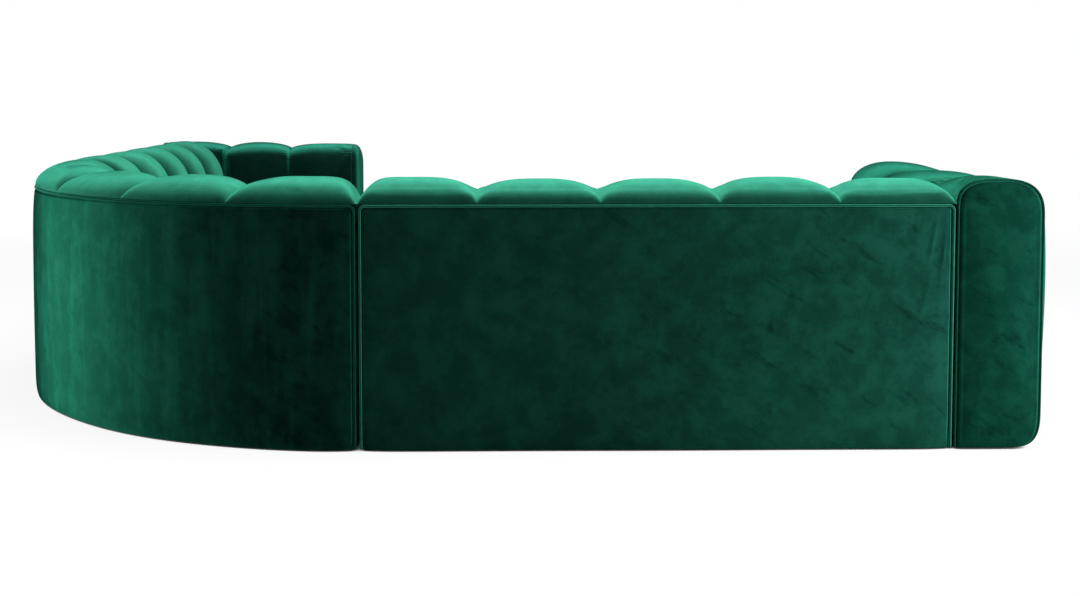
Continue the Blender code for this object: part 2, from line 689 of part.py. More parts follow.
def corner_webbing(name, parent):
    """Webbing of the corner, with straps fanned out behind the creases."""
    half = STRAP_WIDTH / 2

    def beside(crease, side):
        return lambda radius: crease * math.pi / 2 / CORNER_CHANNELS + side * math.asin(half / radius)

    stations = [corner_spread(0, FRAME_START)]
    for crease in range(1, CORNER_CHANNELS):
        stations += [beside(crease, -1), beside(crease, 1)]
    stations.append(corner_spread(1, FRAME_START))
    return seat_webbing(name, corner_point, stations, range(1, 2 * CORNER_CHANNELS - 1, 2), parent)


def dust_cover(name, point, stations, parent):
    """Thin board that closes a module from below."""
    low = GLIDE_HEIGHT + FIT
    high = low + DUST_COVER_THICKNESS
    section = ((FRAME_BACK, low), (BASE_FRONT, low), (BASE_FRONT, high), (FRAME_BACK, high))
    rings = [[point(place, depth, height) for depth, height in section] for place in stations]
    return mesh_piece(name, loft(rings), "cloth", parent)


def glide(name, point, station, depth, parent):
    """Chamfered floor glide under a rail."""
    bm = bmesh.new()
    profile = ((0, GLIDE_RADIUS - GLIDE_CHAMFER), (GLIDE_CHAMFER, GLIDE_RADIUS),
               (GLIDE_HEIGHT, GLIDE_RADIUS))
    add_turned(bm, point(station, depth, 0), profile, GLIDE_SIDES)
    return mesh_piece(name, bm, "plastic", parent, smooth=True)


# Connectors

def tongue_profile():
    """Flange on the inside of the end rail and a tongue that reaches through it past the seam."""
    face = FRAME_START + RAIL + FIT
    half = STEEL / 2
    rise = CONNECTOR_FLANGE
    lower = [(-TONGUE_REACH, -half), (face, -half), (face, -rise), (face + STEEL, -rise)]
    outline = lower + [(along, -up) for along, up in reversed(lower)]
    return [(along, CONNECTOR_HEIGHT + up) for along, up in outline]


def jaw_profile():
    """Open jaw that guides the tongue, with a web behind its tip and flanges on the end rail."""
    mouth = -FRAME_START
    throat = mouth - JAW_FLARE
    face = -(FRAME_START + RAIL + FIT)
    inner = STEEL / 2 + TONGUE_CLEARANCE
    outer = inner + STEEL
    tip = -TONGUE_REACH - STEEL
    upper = [(tip, inner), (throat, inner), (mouth, inner + JAW_FLARE), (mouth, outer + JAW_FLARE),
             (throat, outer), (face, outer), (face, CONNECTOR_FLANGE), (face - STEEL, CONNECTOR_FLANGE),
             (face - STEEL, outer), (tip - STEEL, outer)]
    outline = upper + [(along, -up) for along, up in reversed(upper)]
    return [(along, CONNECTOR_HEIGHT + up) for along, up in outline]


def connector(name, point, profile, parent):
    """Bent plate: a (station, height) profile carried over the connector's width."""
    half = CONNECTOR_WIDTH / 2
    rings = prism(point, profile, (CONNECTOR_DEPTH - half, CONNECTOR_DEPTH + half), "depth")
    return mesh_piece(name, loft(rings), "steel", parent)


def mortise(name, point, side, half_height, pieces, parent):
    """Slot for a connector through the end rail and the seam panel on one side of a seam."""
    half_width = CONNECTOR_WIDTH / 2 + FIT
    outline = ((CONNECTOR_DEPTH - half_width, CONNECTOR_HEIGHT - half_height),
               (CONNECTOR_DEPTH + half_width, CONNECTOR_HEIGHT - half_height),
               (CONNECTOR_DEPTH + half_width, CONNECTOR_HEIGHT + half_height),
               (CONNECTOR_DEPTH - half_width, CONNECTOR_HEIGHT + half_height))
    ends = (0.0, side * (FRAME_START + 2 * RAIL))
    cutter = mesh_piece(name, loft(prism(point, outline, ends, "station")), "timber", parent)
    cutter.hide_render = True
    cutter.display_type = "WIRE"
    for piece in pieces:
        boolean = piece.modifiers.new(name, "BOOLEAN")
        boolean.operation = "DIFFERENCE"
        boolean.solver = "EXACT"
        boolean.object = cutter


# Modules

def module_empty(name, location):
    """Empty that carries a module, on the line along which it is pulled off."""
    empty = bpy.data.objects.new(name, None)
    bpy.context.scene.collection.objects.link(empty)
    empty.location = location
    return empty


def end_module(name, point):
    """All pieces of a straight-backed module with an arm."""
    parent = module_empty(name + "_module", point(0, CONNECTOR_DEPTH, 0))
    base = end_base_frame(name + "_base_frame", point, parent)
    end_back_frame(name + "_back_frame", point, parent)
    arm_frame(name + "_arm_frame", point, parent)
    end_webbing(name + "_seat_webbing", point, parent)
    seat_cushion(name + "_seat_cushion", point, seat_station, parent)
    back_channels(name + "_back_channels", point, run_station, RUN_CHANNELS, parent)
    outside_back(name + "_outside_back", point, run_station, even_steps(2 * RUN_CHANNELS)[1:-1], parent)
    arm_channels(name + "_arm_channels", point, parent)
    arm_outside_panel(name + "_arm_outside_panel", point, parent)
    arm_back_panel(name + "_arm_back_panel", point, parent)
    arm_front_panel(name + "_arm_front_panel", point, parent)
    front_border(name + "_front_border", point, seat_station, 1, parent)
    back_piping(name + "_back_piping", point, run_station, even_steps(RUN_CHANNELS)[1:-1], parent)
    arm_back_piping(name + "_arm_back_piping", point, parent)
    arm_foot = RUN_LENGTH + ARM_WIDTH - ARM_FOOT_RADIUS
    dust_cover(name + "_dust_cover", point, (FRAME_START, arm_foot - FIT), parent)
    for end, station in (("seam", FRAME_START + RAIL), ("arm", BASE_END - RAIL)):
        glide(name + "_glide_back_" + end, point, station, BASE_BACK + RAIL / 2, parent)
        glide(name + "_glide_front_" + end, point, station, BASE_FRONT - RAIL / 2, parent)
    panel = seam_panel(name + "_seam_panel", point, 1, parent)
    connector(name + "_connector_tongue", point, tongue_profile(), parent)
    mortise(name + "_tongue_slot", point, 1, STEEL / 2 + FIT, (base, panel), parent)


def corner_module():
    """All pieces of the quarter-round module between the two seams."""
    name = "corner"
    parent = module_empty("corner_module", Vector((SEAM_PLANE, SEAM_PLANE, 0)))
    base = corner_base_frame(name + "_base_frame", parent)
    corner_back_frame(name + "_back_frame", parent)
    corner_webbing(name + "_seat_webbing", parent)
    facets = [fraction for fraction, _ in channel_samples(CORNER_CHANNELS)]
    seat_cushion(name + "_seat_cushion", corner_point, corner_spread, parent)
    back_channels(name + "_back_channels", corner_point, corner_station, CORNER_CHANNELS, parent)
    outside_back(name + "_outside_back", corner_point, corner_station, facets[2:-2], parent)
    front_border(name + "_front_border", corner_point, corner_spread, CORNER_BORDER_STEPS, parent)
    back_piping(name + "_back_piping", corner_point, corner_station, facets[2:-2], parent)
    stations = [corner_station(fraction, FRAME_START) for fraction in facets]
    dust_cover(name + "_dust_cover", corner_point, stations, parent)
    back_line = BASE_BACK + RAIL / 2
    front_line = BASE_FRONT - RAIL / 2
    inset = FRAME_START + RAIL
    glide(name + "_glide_straight", corner_point, corner_station(0.0, inset), back_line, parent)
    glide(name + "_glide_back", corner_point, corner_station(0.5, inset), back_line, parent)
    glide(name + "_glide_wing", corner_point, corner_station(1.0, inset), back_line, parent)
    glide(name + "_glide_front", corner_point, corner_station(0.5, inset), front_line, parent)
    jaw_half = STEEL / 2 + TONGUE_CLEARANCE + STEEL + JAW_FLARE + FIT
    for seam, point in (("straight", straight_point), ("wing", wing_point)):
        panel = seam_panel(name + "_" + seam + "_seam_panel", point, -1, parent)
        connector(name + "_" + seam + "_connector_jaw", point, jaw_profile(), parent)
        mortise(name + "_" + seam + "_jaw_slot", point, -1, jaw_half, (base, panel), parent)


def main():
    remove_everything()
    corner_module()
    end_module("straight", straight_point)
    end_module("wing", wing_point)


main()
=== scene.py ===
# %% [markdown]
# # A velvet corner sofa in three modules
#
# The sofa is two straight modules, each with an arm, pushed onto a quarter-round corner. What one sees of it
# is upholstery: padded rolls over the back and the arms, plain panels outside, thin piping between them. The
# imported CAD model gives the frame: every rigid piece, where it sits and how it moves. This lesson sews the
# velvet over that frame, one step at a time.

# %% Load the frame
import math

import bpy
import numpy as np
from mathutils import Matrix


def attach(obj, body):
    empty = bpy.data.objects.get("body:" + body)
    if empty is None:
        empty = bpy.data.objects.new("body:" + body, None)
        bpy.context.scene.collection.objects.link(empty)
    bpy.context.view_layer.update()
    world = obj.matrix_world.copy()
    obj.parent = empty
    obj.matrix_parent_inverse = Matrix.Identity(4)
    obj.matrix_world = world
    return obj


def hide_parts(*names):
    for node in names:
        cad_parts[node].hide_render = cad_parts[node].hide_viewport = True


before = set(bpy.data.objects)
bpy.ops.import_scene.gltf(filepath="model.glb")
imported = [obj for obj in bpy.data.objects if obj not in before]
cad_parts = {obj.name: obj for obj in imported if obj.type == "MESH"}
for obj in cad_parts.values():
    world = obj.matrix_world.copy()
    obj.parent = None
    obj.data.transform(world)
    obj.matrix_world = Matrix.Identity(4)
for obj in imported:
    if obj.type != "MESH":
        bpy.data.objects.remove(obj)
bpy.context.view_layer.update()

scene = bpy.context.scene
scene.view_settings.view_transform = "Standard"

# %% [markdown]
# ## Sizes
#
# The same lengths as in the CAD source, in metres. A point of a module is given by how far along the back it
# lies, how deep it is, measured inwards from the outside back, and its height. One could draw each module
# where it stands in the room, but run coordinates let the straight back and the round corner share a formula.

# %% Sizes that the frame was drawn with
CHANNEL_PITCH = 0.320
CHANNELS = 5                      # on a back
ARM_CHANNELS = 3
RUN = CHANNELS * CHANNEL_PITCH
DEPTH = 0.920                     # outside back to seat front
OUTER_RADIUS = 1.160              # of the corner's outside back
CORNER_RUN = math.pi / 2 * OUTER_RADIUS
BACK_PLANE = 1.500
SEAM_PLANE = BACK_PLANE - OUTER_RADIUS
PAD_GAP = 0.002
SOFT_GAP = 0.0006                 # padding all but touches at a seam
FLOOR_GAP = 0.005                 # under the panels

PIPING_HEIGHT = 0.6597
PIPING_RADIUS = 0.005
CORD_RADIUS = 0.0034              # the part of the piping that shows
PIPING_INSET = 0.0080             # middle of the piping beside a seam
PANEL_INSET = 0.0095
PANEL_THICKNESS = 0.018

ROLL_FOOT = 0.665
ROLL_RISE = 0.065
ROLL_CREST = 0.145
SHOULDER_DROP = 0.170             # from the crest to where the inside is fullest
SHOULDER = ROLL_FOOT + ROLL_RISE - SHOULDER_DROP
BACK_THICKNESS = 0.285
BACK_TAPER = 0.022
CREASE_DEPTH = 0.034              # between two channels
END_DEPTH = 0.058                 # at either end of a back
FRAME_BACK = 0.0183
BASE_BACK = 0.1186
BACK_FRAME_TOP = 0.6203

ARM_INNER = RUN + PAD_GAP
ARM_WIDTH = 0.240
ARM_OUTER = RUN + ARM_WIDTH
ARM_HEIGHT = 0.730
ARM_OVERHANG = 0.058
ARM_CREASE_DEPTH = 0.026
ARM_FRAME_INNER = 1.660
ARM_FRAME_OUTER = 1.8217
ARM_FRAME_TOP = 0.577
ARM_FRONT = 0.8797                # where the padded arm front begins
ARM_FRONT_ROUND = 0.036

SEAT_HEIGHT = 0.420
SEAT_CROWN = 0.022
SEAT_BACK = 0.271
SEAT_BOTTOM = 0.2026
BASE_TOP = 0.200


def straight_room(along, depth, height):
    """Straight module: x falls along the run, y falls with depth."""
    return np.stack(np.broadcast_arrays(SEAM_PLANE - along, BACK_PLANE - depth, height), -1)


def corner_room(along, depth, height):
    """Corner: the length along the outside back becomes an angle about the crossing of the seams."""
    angle, radius = along / OUTER_RADIUS, OUTER_RADIUS - depth
    return np.stack(np.broadcast_arrays(SEAM_PLANE + radius * np.sin(angle),
                                        SEAM_PLANE + radius * np.cos(angle), height), -1)


print(f"run {RUN:.3f} m, corner {CORNER_RUN:.3f} m along the outside back")

# %% [markdown]
# ## Camera
#
# The photograph was taken from behind the straight module, a little above the back, with the lens nearly
# level. The place was fitted to the corners of the panels and to the creases. The shift lifts the sofa in the
# frame without tilting its uprights.

# %% Camera
IMAGE_WIDTH = 1080                # in pixels, as are the next two
FOCAL_LENGTH = 1431.2
LENS_SHIFT = (20.26, -117.38)
SENSOR_WIDTH = 36                 # in millimetres
CAMERA_PLACE = (-0.0247, 5.2797, 0.9587)
CAMERA_TURN = (86.5, 0, 178.971)  # in degrees
camera_data = bpy.data.cameras.new("camera")
camera_data.sensor_width = SENSOR_WIDTH
camera_data.lens = FOCAL_LENGTH / IMAGE_WIDTH * SENSOR_WIDTH
camera_data.shift_x, camera_data.shift_y = [shift / IMAGE_WIDTH for shift in LENS_SHIFT]
camera = bpy.data.objects.new("camera", camera_data)
camera.location = CAMERA_PLACE
camera.rotation_euler = [math.radians(angle) for angle in CAMERA_TURN]
scene.collection.objects.link(camera)
scene.camera = camera
print(f"lens {camera_data.lens:.1f} mm")

# %% [markdown]
# ## Node tools
#
# Materials here are node trees. A few short helpers keep the cells readable: one adds a node and links or
# sets its inputs, one starts a shader node group with named inputs and outputs, the others add the kinds of
# node that come back again and again.

# %% Node tools
WHITE, BLACK = (1, 1, 1), (0, 0, 0)
SURFACE = [("Colour", "Color"), ("Roughness", "Float"), ("Height", "Float")]  # what a finish's group puts out


def feed(tree, socket, value):
    """Link another socket to this one, or set its value; a colour gets its alpha."""
    if isinstance(value, bpy.types.NodeSocket):
        tree.links.new(value, socket)
    else:
        socket.default_value = (*value, 1) if socket.type == "RGBA" else value


def node(tree, kind, values=None, **settings):
    """Add a node, set its properties, and link or set its inputs."""
    made = tree.nodes.new("ShaderNode" + kind)
    for name, value in settings.items():
        setattr(made, name, value)
    for name, value in (values or {}).items():
        feed(tree, made.inputs[name], value)
    return made


def node_group(name, inputs, outputs=SURFACE):
    """Start a shader node group; give back its tree, the sockets that come in and those that go out."""
    tree = bpy.data.node_groups.new(name, "ShaderNodeTree")
    for socket, kind, default in inputs:
        made = tree.interface.new_socket(socket, in_out="INPUT", socket_type="NodeSocket" + kind)
        made.default_value = (*default, 1) if kind == "Color" else default
    for socket, kind in outputs:
        tree.interface.new_socket(socket, in_out="OUTPUT", socket_type="NodeSocket" + kind)
    return tree, tree.nodes.new("NodeGroupInput").outputs, tree.nodes.new("NodeGroupOutput").inputs


def put_out(tree, leave, **values):
    """Link what a group has worked out to the sockets that go out."""
    for name, value in values.items():
        tree.links.new(value, leave[name])


print("node tools ready")

# %% Kinds of node
MIX_FACTOR, MIX_FIRST, MIX_SECOND, MIX_RESULT = 0, 6, 7, 2  # sockets of a Mix node that mixes colours


def spread(tree, value, low, high, bottom=0.0, top=1.0):
    """Map a value smoothly from low..high to bottom..top."""
    return node(tree, "MapRange", {"Value": value, "From Min": low, "From Max": high, "To Min": bottom,
                                   "To Max": top}, interpolation_type="SMOOTHSTEP").outputs["Result"]


def noise(tree, place, scale, detail=3.0, rough=0.5, twist=0.0):
    """Fractal noise at a place, in cells to the metre."""
    return node(tree, "TexNoise", {"Vector": place, "Scale": scale, "Detail": detail, "Roughness": rough,
                                   "Distortion": twist}).outputs["Fac"]


def arithmetic(tree, operation, *terms):
    """One Math node; each term may be a socket or a number."""
    return node(tree, "Math", dict(enumerate(terms)), operation=operation).outputs["Value"]


def weighted(tree, first, share, second, other_share):
    """Sum of two values, each times its share."""
    return arithmetic(tree, "ADD", arithmetic(tree, "MULTIPLY", first, share),
                      arithmetic(tree, "MULTIPLY", second, other_share))


def blend_colour(tree, factor, first, second, mode="MIX"):
    """Mix two colours, given as sockets or as values."""
    return node(tree, "Mix", {MIX_FACTOR: factor, MIX_FIRST: first, MIX_SECOND: second},
                data_type="RGBA", blend_type=mode).outputs[MIX_RESULT]


def stretched(tree, place, scale):
    """Scale a place before it reaches a texture, so that a pattern runs longer one way."""
    return node(tree, "Mapping", {"Vector": place, "Scale": scale}).outputs["Vector"]


def object_place(tree):
    """Where a point lies on the piece itself, so that a pattern moves with the piece."""
    return node(tree, "TexCoord").outputs["Object"]


print("kinds of node ready")

# %% [markdown]
# ## Floor, background and light
# Under the sofa, ambient occlusion dims the floor's glow: a painted shadow.
#
# The photograph has a white ground. A floor lit to white would need far more light than the velvet can take,
# so the floor and the world only look white to the camera, to mirrors and through glass, and light the sofa
# as a pale floor and a soft room would. Near the sofa the floor stays a lit surface and so keeps its shadow.
# The lamps are three softboxes: one overhead, one at either side.

# %% Floor and background
FLOOR_SIZE = 60.0
FLOOR_FADE = (2.4, 6.5)           # distance at which the floor begins to fade, and at which it is white
FLOOR_GLOW = 0.90                 # near the sofa
FLOOR_SHADE = (0.15, 0.15, 0.15)  # what the lamps add to it
PLAIN_FLOOR = (0.55, 0.55, 0.55)  # as it lights the sofa
SHADOW_REACH = 0.35
SHADOW_RANGE = (0.03, 0.30)       # share of open air from full painted shadow to none
ROOM_LIGHT = 0.07
corners = np.array([(-1, -1), (1, -1), (1, 1), (-1, 1)]) * FLOOR_SIZE / 2
floor_mesh = bpy.data.meshes.new("floor")
floor_mesh.from_pydata([(x, y, 0.0) for x, y in corners.tolist()], [], [(0, 1, 2, 3)])
floor = bpy.data.objects.new("floor", floor_mesh)
scene.collection.objects.link(floor)


def seen_by_eye(tree):
    """1 for rays from the camera, from mirrors and through glass."""
    path = node(tree, "LightPath").outputs
    either = arithmetic(tree, "MAXIMUM", path["Is Camera Ray"], path["Is Glossy Ray"])
    return arithmetic(tree, "MAXIMUM", either, path["Is Transmission Ray"])


def floor_finish():
    """Matt pale floor; to the camera it fades into the white ground away from the sofa, not under it."""
    material = bpy.data.materials.new("floor")
    material.use_nodes = True
    tree = material.node_tree
    tree.nodes.clear()
    radius = node(tree, "VectorMath", {0: object_place(tree)}, operation="LENGTH").outputs["Value"]
    shade = blend_colour(tree, spread(tree, radius, *FLOOR_FADE), FLOOR_SHADE, BLACK)
    # Painted shadow: ambient occlusion dims the floor's glow under the sofa.
    open_air = node(tree, "AmbientOcclusion", {"Distance": SHADOW_REACH}).outputs["AO"]
    strength = arithmetic(tree, "MULTIPLY", spread(tree, radius, *FLOOR_FADE, FLOOR_GLOW, 1.0),
                          spread(tree, open_air, *SHADOW_RANGE))
    lit = node(tree, "BsdfDiffuse", {"Color": shade})
    glow = node(tree, "Emission", {"Color": WHITE, "Strength": strength})
    both = node(tree, "AddShader", {0: lit.outputs[0], 1: glow.outputs[0]})
    plain = node(tree, "BsdfDiffuse", {"Color": PLAIN_FLOOR})
    choice = node(tree, "MixShader", {0: seen_by_eye(tree), 1: plain.outputs[0], 2: both.outputs[0]})
    node(tree, "OutputMaterial", {"Surface": choice.outputs[0]})
    return material


floor_mesh.materials.append(floor_finish())
world = bpy.data.worlds.new("studio")
world.use_nodes = True
scene.world = world
sky = world.node_tree
sky.nodes.clear()
dim = node(sky, "Background", {"Color": WHITE, "Strength": ROOM_LIGHT})
ground = node(sky, "Background", {"Color": WHITE, "Strength": 1.0})
choice = node(sky, "MixShader", {0: seen_by_eye(sky), 1: dim.outputs[0], 2: ground.outputs[0]})
node(sky, "OutputWorld", {"Surface": choice.outputs[0]})
print(f"floor {FLOOR_SIZE:.0f} m, room light {ROOM_LIGHT}")

# %% Softboxes
def softbox(name, place, target, size, watts):
    """Area lamp at a place, turned towards a target."""
    lamp = bpy.data.lights.new(name, "AREA")
    lamp.shape = "RECTANGLE"
    lamp.size, lamp.size_y = size
    lamp.energy = watts
    x, y, z = np.subtract(target, place)
    box = bpy.data.objects.new(name, lamp)
    box.location = place
    box.rotation_euler = (math.atan2(math.hypot(x, y), -z), 0, math.atan2(y, x) - math.pi / 2)
    scene.collection.objects.link(box)
    print(f"{name}: {watts} W")


softbox("overhead_softbox", (-0.1, 0.5, 3.2), (-0.1, 0.5, 0.0), (3.0, 2.4), 148)
softbox("right_softbox", (-2.8, 2.6, 0.85), (-1.3, 1.5, 0.4), (0.8, 1.3), 56)
softbox("left_softbox", (3.8, 1.5, 0.24), (1.4, 0.8, 0.26), (1.0, 0.4), 42)

# %% [markdown]
# ## Velvet
#
# Velvet is a pile of fine upright threads. Seen end on it swallows light; seen along the threads, at the edge
# of a form, it glows. Where a hand has brushed it the pile leans another way, which leaves soft blotches and
# streaks. That glow is painted: the material mixes the base colour towards a painted sheen colour by how far
# the surface faces away from the eye, paints it darker again where the surface is seen edge on, and the
# shader's sheen, a set value, adds to it.
# The blotches, the streaks down a panel and the grain of the pile change over the surface, so they come from
# one node group that every velvet piece shares.

# %% Velvet pile
PAINTED_SIDE_LIGHT_RUN = (-1.35, 0.20)           # x from and to: painted light, lighter towards the straight module's arm
PILE_SLANT = (0.3, 0.55, 0.2)
FINE_BLOTCH = 4.4                 # times as fine as the broad blotches
STREAK_SCALE = 16.0               # cells to the metre, as are the next two
STROKE_SCALE = 20.0
PILE_SCALE = 620.0


def velvet_group():
    """Pile colours: broad and small noise for brushing, less where drawn-out noise leaves dark dabs.

    Noise drawn out upright gives streaks, fine noise the pile itself.
    """
    tree, enter, leave = node_group(
        "velvet_pile",
        [("Deep", "Color", BLACK), ("Brushed", "Color", WHITE), ("Painted_Sheen", "Color", WHITE),
         ("Blotch", "Float", 4.0), ("Streak", "Float", 0.3), ("Painted_Side_Light", "Float", 0.0), ("Crush", "Float", 0.0)],
        [*SURFACE, ("Tips", "Color")])
    place = object_place(tree)
    slanted = node(tree, "Mapping", {"Vector": place, "Rotation": PILE_SLANT}).outputs["Vector"]
    broad = noise(tree, slanted, enter["Blotch"], 4.0, 0.55, 0.25)
    small = noise(tree, slanted, arithmetic(tree, "MULTIPLY", enter["Blotch"], FINE_BLOTCH), 9.0, 0.70, 0.15)
    brushing = weighted(tree, spread(tree, broad, 0.36, 0.66), 0.20, spread(tree, small, 0.38, 0.64), 0.50)
    upright = noise(tree, stretched(tree, place, (1.0, 1.0, 0.16)), STREAK_SCALE, 4.0, 0.6, 0.4)
    streaks = arithmetic(tree, "MULTIPLY", spread(tree, upright, 0.42, 0.74), enter["Streak"])
    # Painted light: a gradient along x makes one side lighter, as light falling from that side would.
    sideways = node(tree, "SeparateXYZ", {0: place}).outputs["X"]
    painted_side_light = arithmetic(tree, "MULTIPLY", spread(tree, sideways, *PAINTED_SIDE_LIGHT_RUN, 1.0, 0.0), enter["Painted_Side_Light"])
    crushed = arithmetic(tree, "ADD", painted_side_light, enter["Crush"])
    mottled = arithmetic(tree, "MULTIPLY", brushing, arithmetic(tree, "MULTIPLY_ADD", crushed, 0.6, 0.55))
    strokes = noise(tree, stretched(tree, slanted, (0.4, 1.0, 1.5)), STROKE_SCALE, 5.0, 0.6, 0.3)
    dabs = arithmetic(tree, "MULTIPLY", spread(tree, strokes, 0.57, 0.68),
                      arithmetic(tree, "MULTIPLY_ADD", crushed, 0.42, 0.04))
    brushed = arithmetic(tree, "ADD", arithmetic(tree, "MULTIPLY_ADD", painted_side_light, 0.44, streaks), mottled)
    lean = arithmetic(tree, "SUBTRACT", brushed, dabs)
    pile = noise(tree, place, PILE_SCALE, 2.0, 0.6)
    tip = spread(tree, pile, 0.25, 0.75, 0.82, 1.16)
    patch = arithmetic(tree, "MULTIPLY", tip, spread(tree, lean, 0.0, 0.9, 0.72, 1.14))
    grain, worn = [node(tree, "CombineColor", dict.fromkeys(range(3), grey)).outputs["Color"]
                   for grey in (tip, patch)]
    colour = blend_colour(tree, lean, enter["Deep"], enter["Brushed"])
    # The tips colour that goes out is a painted sheen colour, patched like the pile.
    put_out(tree, leave, Colour=blend_colour(tree, 1.0, colour, grain, "MULTIPLY"),
            Tips=blend_colour(tree, 1.0, enter["Painted_Sheen"], worn, "MULTIPLY"),
            Roughness=arithmetic(tree, "MULTIPLY_ADD", lean, -0.10, 0.86),
            Height=weighted(tree, pile, 0.3, small, 0.7))
    return tree


velvet_pile = velvet_group()
print(f"velvet pile of {len(velvet_pile.nodes)} nodes")

# %% Velvet materials
BUMP_REACH = 0.001
PILE_BUMP = 0.25
PAINTED_SHEEN_FADE = (0.66, 0.95)           # where the painted sheen falls off again, as a share of turning away: painted shade edge on
SHEEN_TINT = (0.10, 1.0, 0.64)
SHEEN_ROUGHNESS = 0.34


def finish(name, group, values, bump, plain=None):
    """Principled material fed by one group; plain values, the same all over, are set on its sockets."""
    material = bpy.data.materials.new(name)
    material.use_nodes = True
    tree = material.node_tree
    source = node(tree, "Group", values, node_tree=group).outputs
    relief = node(tree, "Bump", {"Height": source["Height"], "Strength": bump, "Distance": BUMP_REACH})
    sockets = {"Base Color": source["Colour"], "Roughness": source["Roughness"],
               "Normal": relief.outputs["Normal"], **(plain or {})}
    for socket, value in sockets.items():
        feed(tree, tree.nodes["Principled BSDF"].inputs[socket], value)
    return material


def velvet(name, deep, brushed, lit, blotch, turn, streak=0.0, painted_side_light=0.0, crush=0.0, rim=1.0, sheen=0.3):
    """Velvet whose colour turns from the pile's to a painted sheen colour over a range of turning away.

    Rim is how much of the painted sheen is left where the surface is seen edge on: painted shade there.
    """
    material = finish("velvet_" + name, velvet_pile,
                      {"Deep": deep, "Brushed": brushed, "Painted_Sheen": lit, "Blotch": blotch, "Streak": streak,
                       "Painted_Side_Light": painted_side_light, "Crush": crush}, bump=PILE_BUMP,
                      plain={"Sheen Weight": sheen, "Sheen Roughness": SHEEN_ROUGHNESS,
                             "Sheen Tint": SHEEN_TINT, "Specular IOR Level": 0.0})
    tree = material.node_tree
    source = tree.nodes["Group"].outputs
    # Painted sheen: the base colour turns to the painted sheen colour as the surface faces away from the eye.
    facing = node(tree, "LayerWeight", {"Blend": 0.5}).outputs["Facing"]
    glow = arithmetic(tree, "MULTIPLY", spread(tree, facing, *turn),
                      spread(tree, facing, *PAINTED_SHEEN_FADE, 1.0, rim))
    feed(tree, tree.nodes["Principled BSDF"].inputs["Base Color"],
         blend_colour(tree, glow, source["Colour"], source["Tips"]))
    print(f"{material.name}: {len(tree.nodes)} nodes")
    return material


print("velvet ready")

# %% Velvet of each piece
# Copies of one velvet, their colours set by how light falls on each piece: painted light and shade.
# The arms are painted dark, the far arms and the piping painted lighter, the inside rolls, the wall,
# the ends and the edge cords painted darker; the wall is painted darker still where seen edge on.
PAINTED_SHADE_ARM_PILE = ((0.0024, 0.015, 0.0115), (0.0046, 0.037, 0.026))  # deep and brushed colour, painted dark as the arms' shade
velvet_rolls = velvet("rolls", (0.0072, 0.060, 0.042), (0.0130, 0.118, 0.080), (0.070, 0.49, 0.322),
                      5.0, (0.03, 0.95), rim=0.85, sheen=0.5)
velvet_round = velvet("round", (0.0072, 0.062, 0.044), (0.0140, 0.128, 0.088), (0.072, 0.54, 0.352),
                      5.0, (0.03, 0.95), rim=0.5, sheen=0.4)
velvet_inside = velvet("inside", (0.0056, 0.048, 0.034), (0.0110, 0.100, 0.068), (0.070, 0.50, 0.328),
                       5.0, (0.16, 0.95), rim=0.75, sheen=0.4)
velvet_panels = velvet("panels", (0.0036, 0.028, 0.0210), (0.0100, 0.088, 0.061), (0.022, 0.26, 0.162),
                       3.0, (0.22, 0.92), streak=0.08, painted_side_light=0.8)
velvet_wall = velvet("wall", (0.0024, 0.016, 0.0130), (0.0062, 0.058, 0.040), (0.024, 0.27, 0.166),
                     3.4, (0.06, 0.66), streak=0.46, crush=0.30, rim=0.14, sheen=0.05)
velvet_ends = velvet("ends", (0.0016, 0.019, 0.0140), (0.0048, 0.058, 0.038), (0.012, 0.13, 0.082),
                     4.0, (0.22, 0.92), streak=0.05, painted_side_light=0.85, sheen=0.2)
velvet_arms = velvet("arms", *PAINTED_SHADE_ARM_PILE, (0.028, 0.30, 0.190), 5.0, (0.08, 0.72), rim=0.30, sheen=0.10)
velvet_far_arms = velvet("far_arms", *PAINTED_SHADE_ARM_PILE, (0.042, 0.42, 0.275), 5.0, (0.08, 0.72), rim=0.30, sheen=0.10)
velvet_piping = velvet("piping", (0.008, 0.090, 0.060), (0.015, 0.150, 0.100), (0.085, 0.50, 0.335),
                       9.0, (0.05, 0.75), sheen=0.6)
velvet_edge = velvet("edge", (0.004, 0.050, 0.033), (0.008, 0.080, 0.052), (0.036, 0.30, 0.195),
                     9.0, (0.35, 0.95), sheen=0.4)

# %% [markdown]
# ## From surfaces to pieces
#
# A padded piece is a closed skin. Most are lofts: a section carried along a path, with a cap on either end.
# The points are worked out as whole arrays, and the mesh takes them in one go. A mirrored or reversed loft
# would face inwards, so the signed volume of the skin decides which way its faces turn.

# %% Mesh tools
SHARP_ANGLE = math.radians(42)    # faces that meet more steeply keep their edge


def ring_quads(rows, columns):
    """Quads between neighbouring rows of a grid whose columns close into rings."""
    index = np.arange(rows * columns).reshape(rows, columns)
    beside = np.roll(index, -1, 1)
    return np.stack([index[:-1], beside[:-1], beside[1:], index[1:]], -1).reshape(-1, 4)


def sheet_quads(rows, columns):
    """Quads of an open grid."""
    index = np.arange(rows * columns).reshape(rows, columns)
    return np.stack([index[:-1, :-1], index[:-1, 1:], index[1:, 1:], index[1:, :-1]], -1).reshape(-1, 4)


def loft(rings):
    """Closed skin over a row of rings: the quads between them and a cap on each end."""
    rows, columns = rings.shape[:2]
    last = (rows - 1) * columns
    caps = np.stack([np.arange(columns)[::-1], np.arange(columns) + last])
    return rings.reshape(-1, 3), [ring_quads(rows, columns), caps]


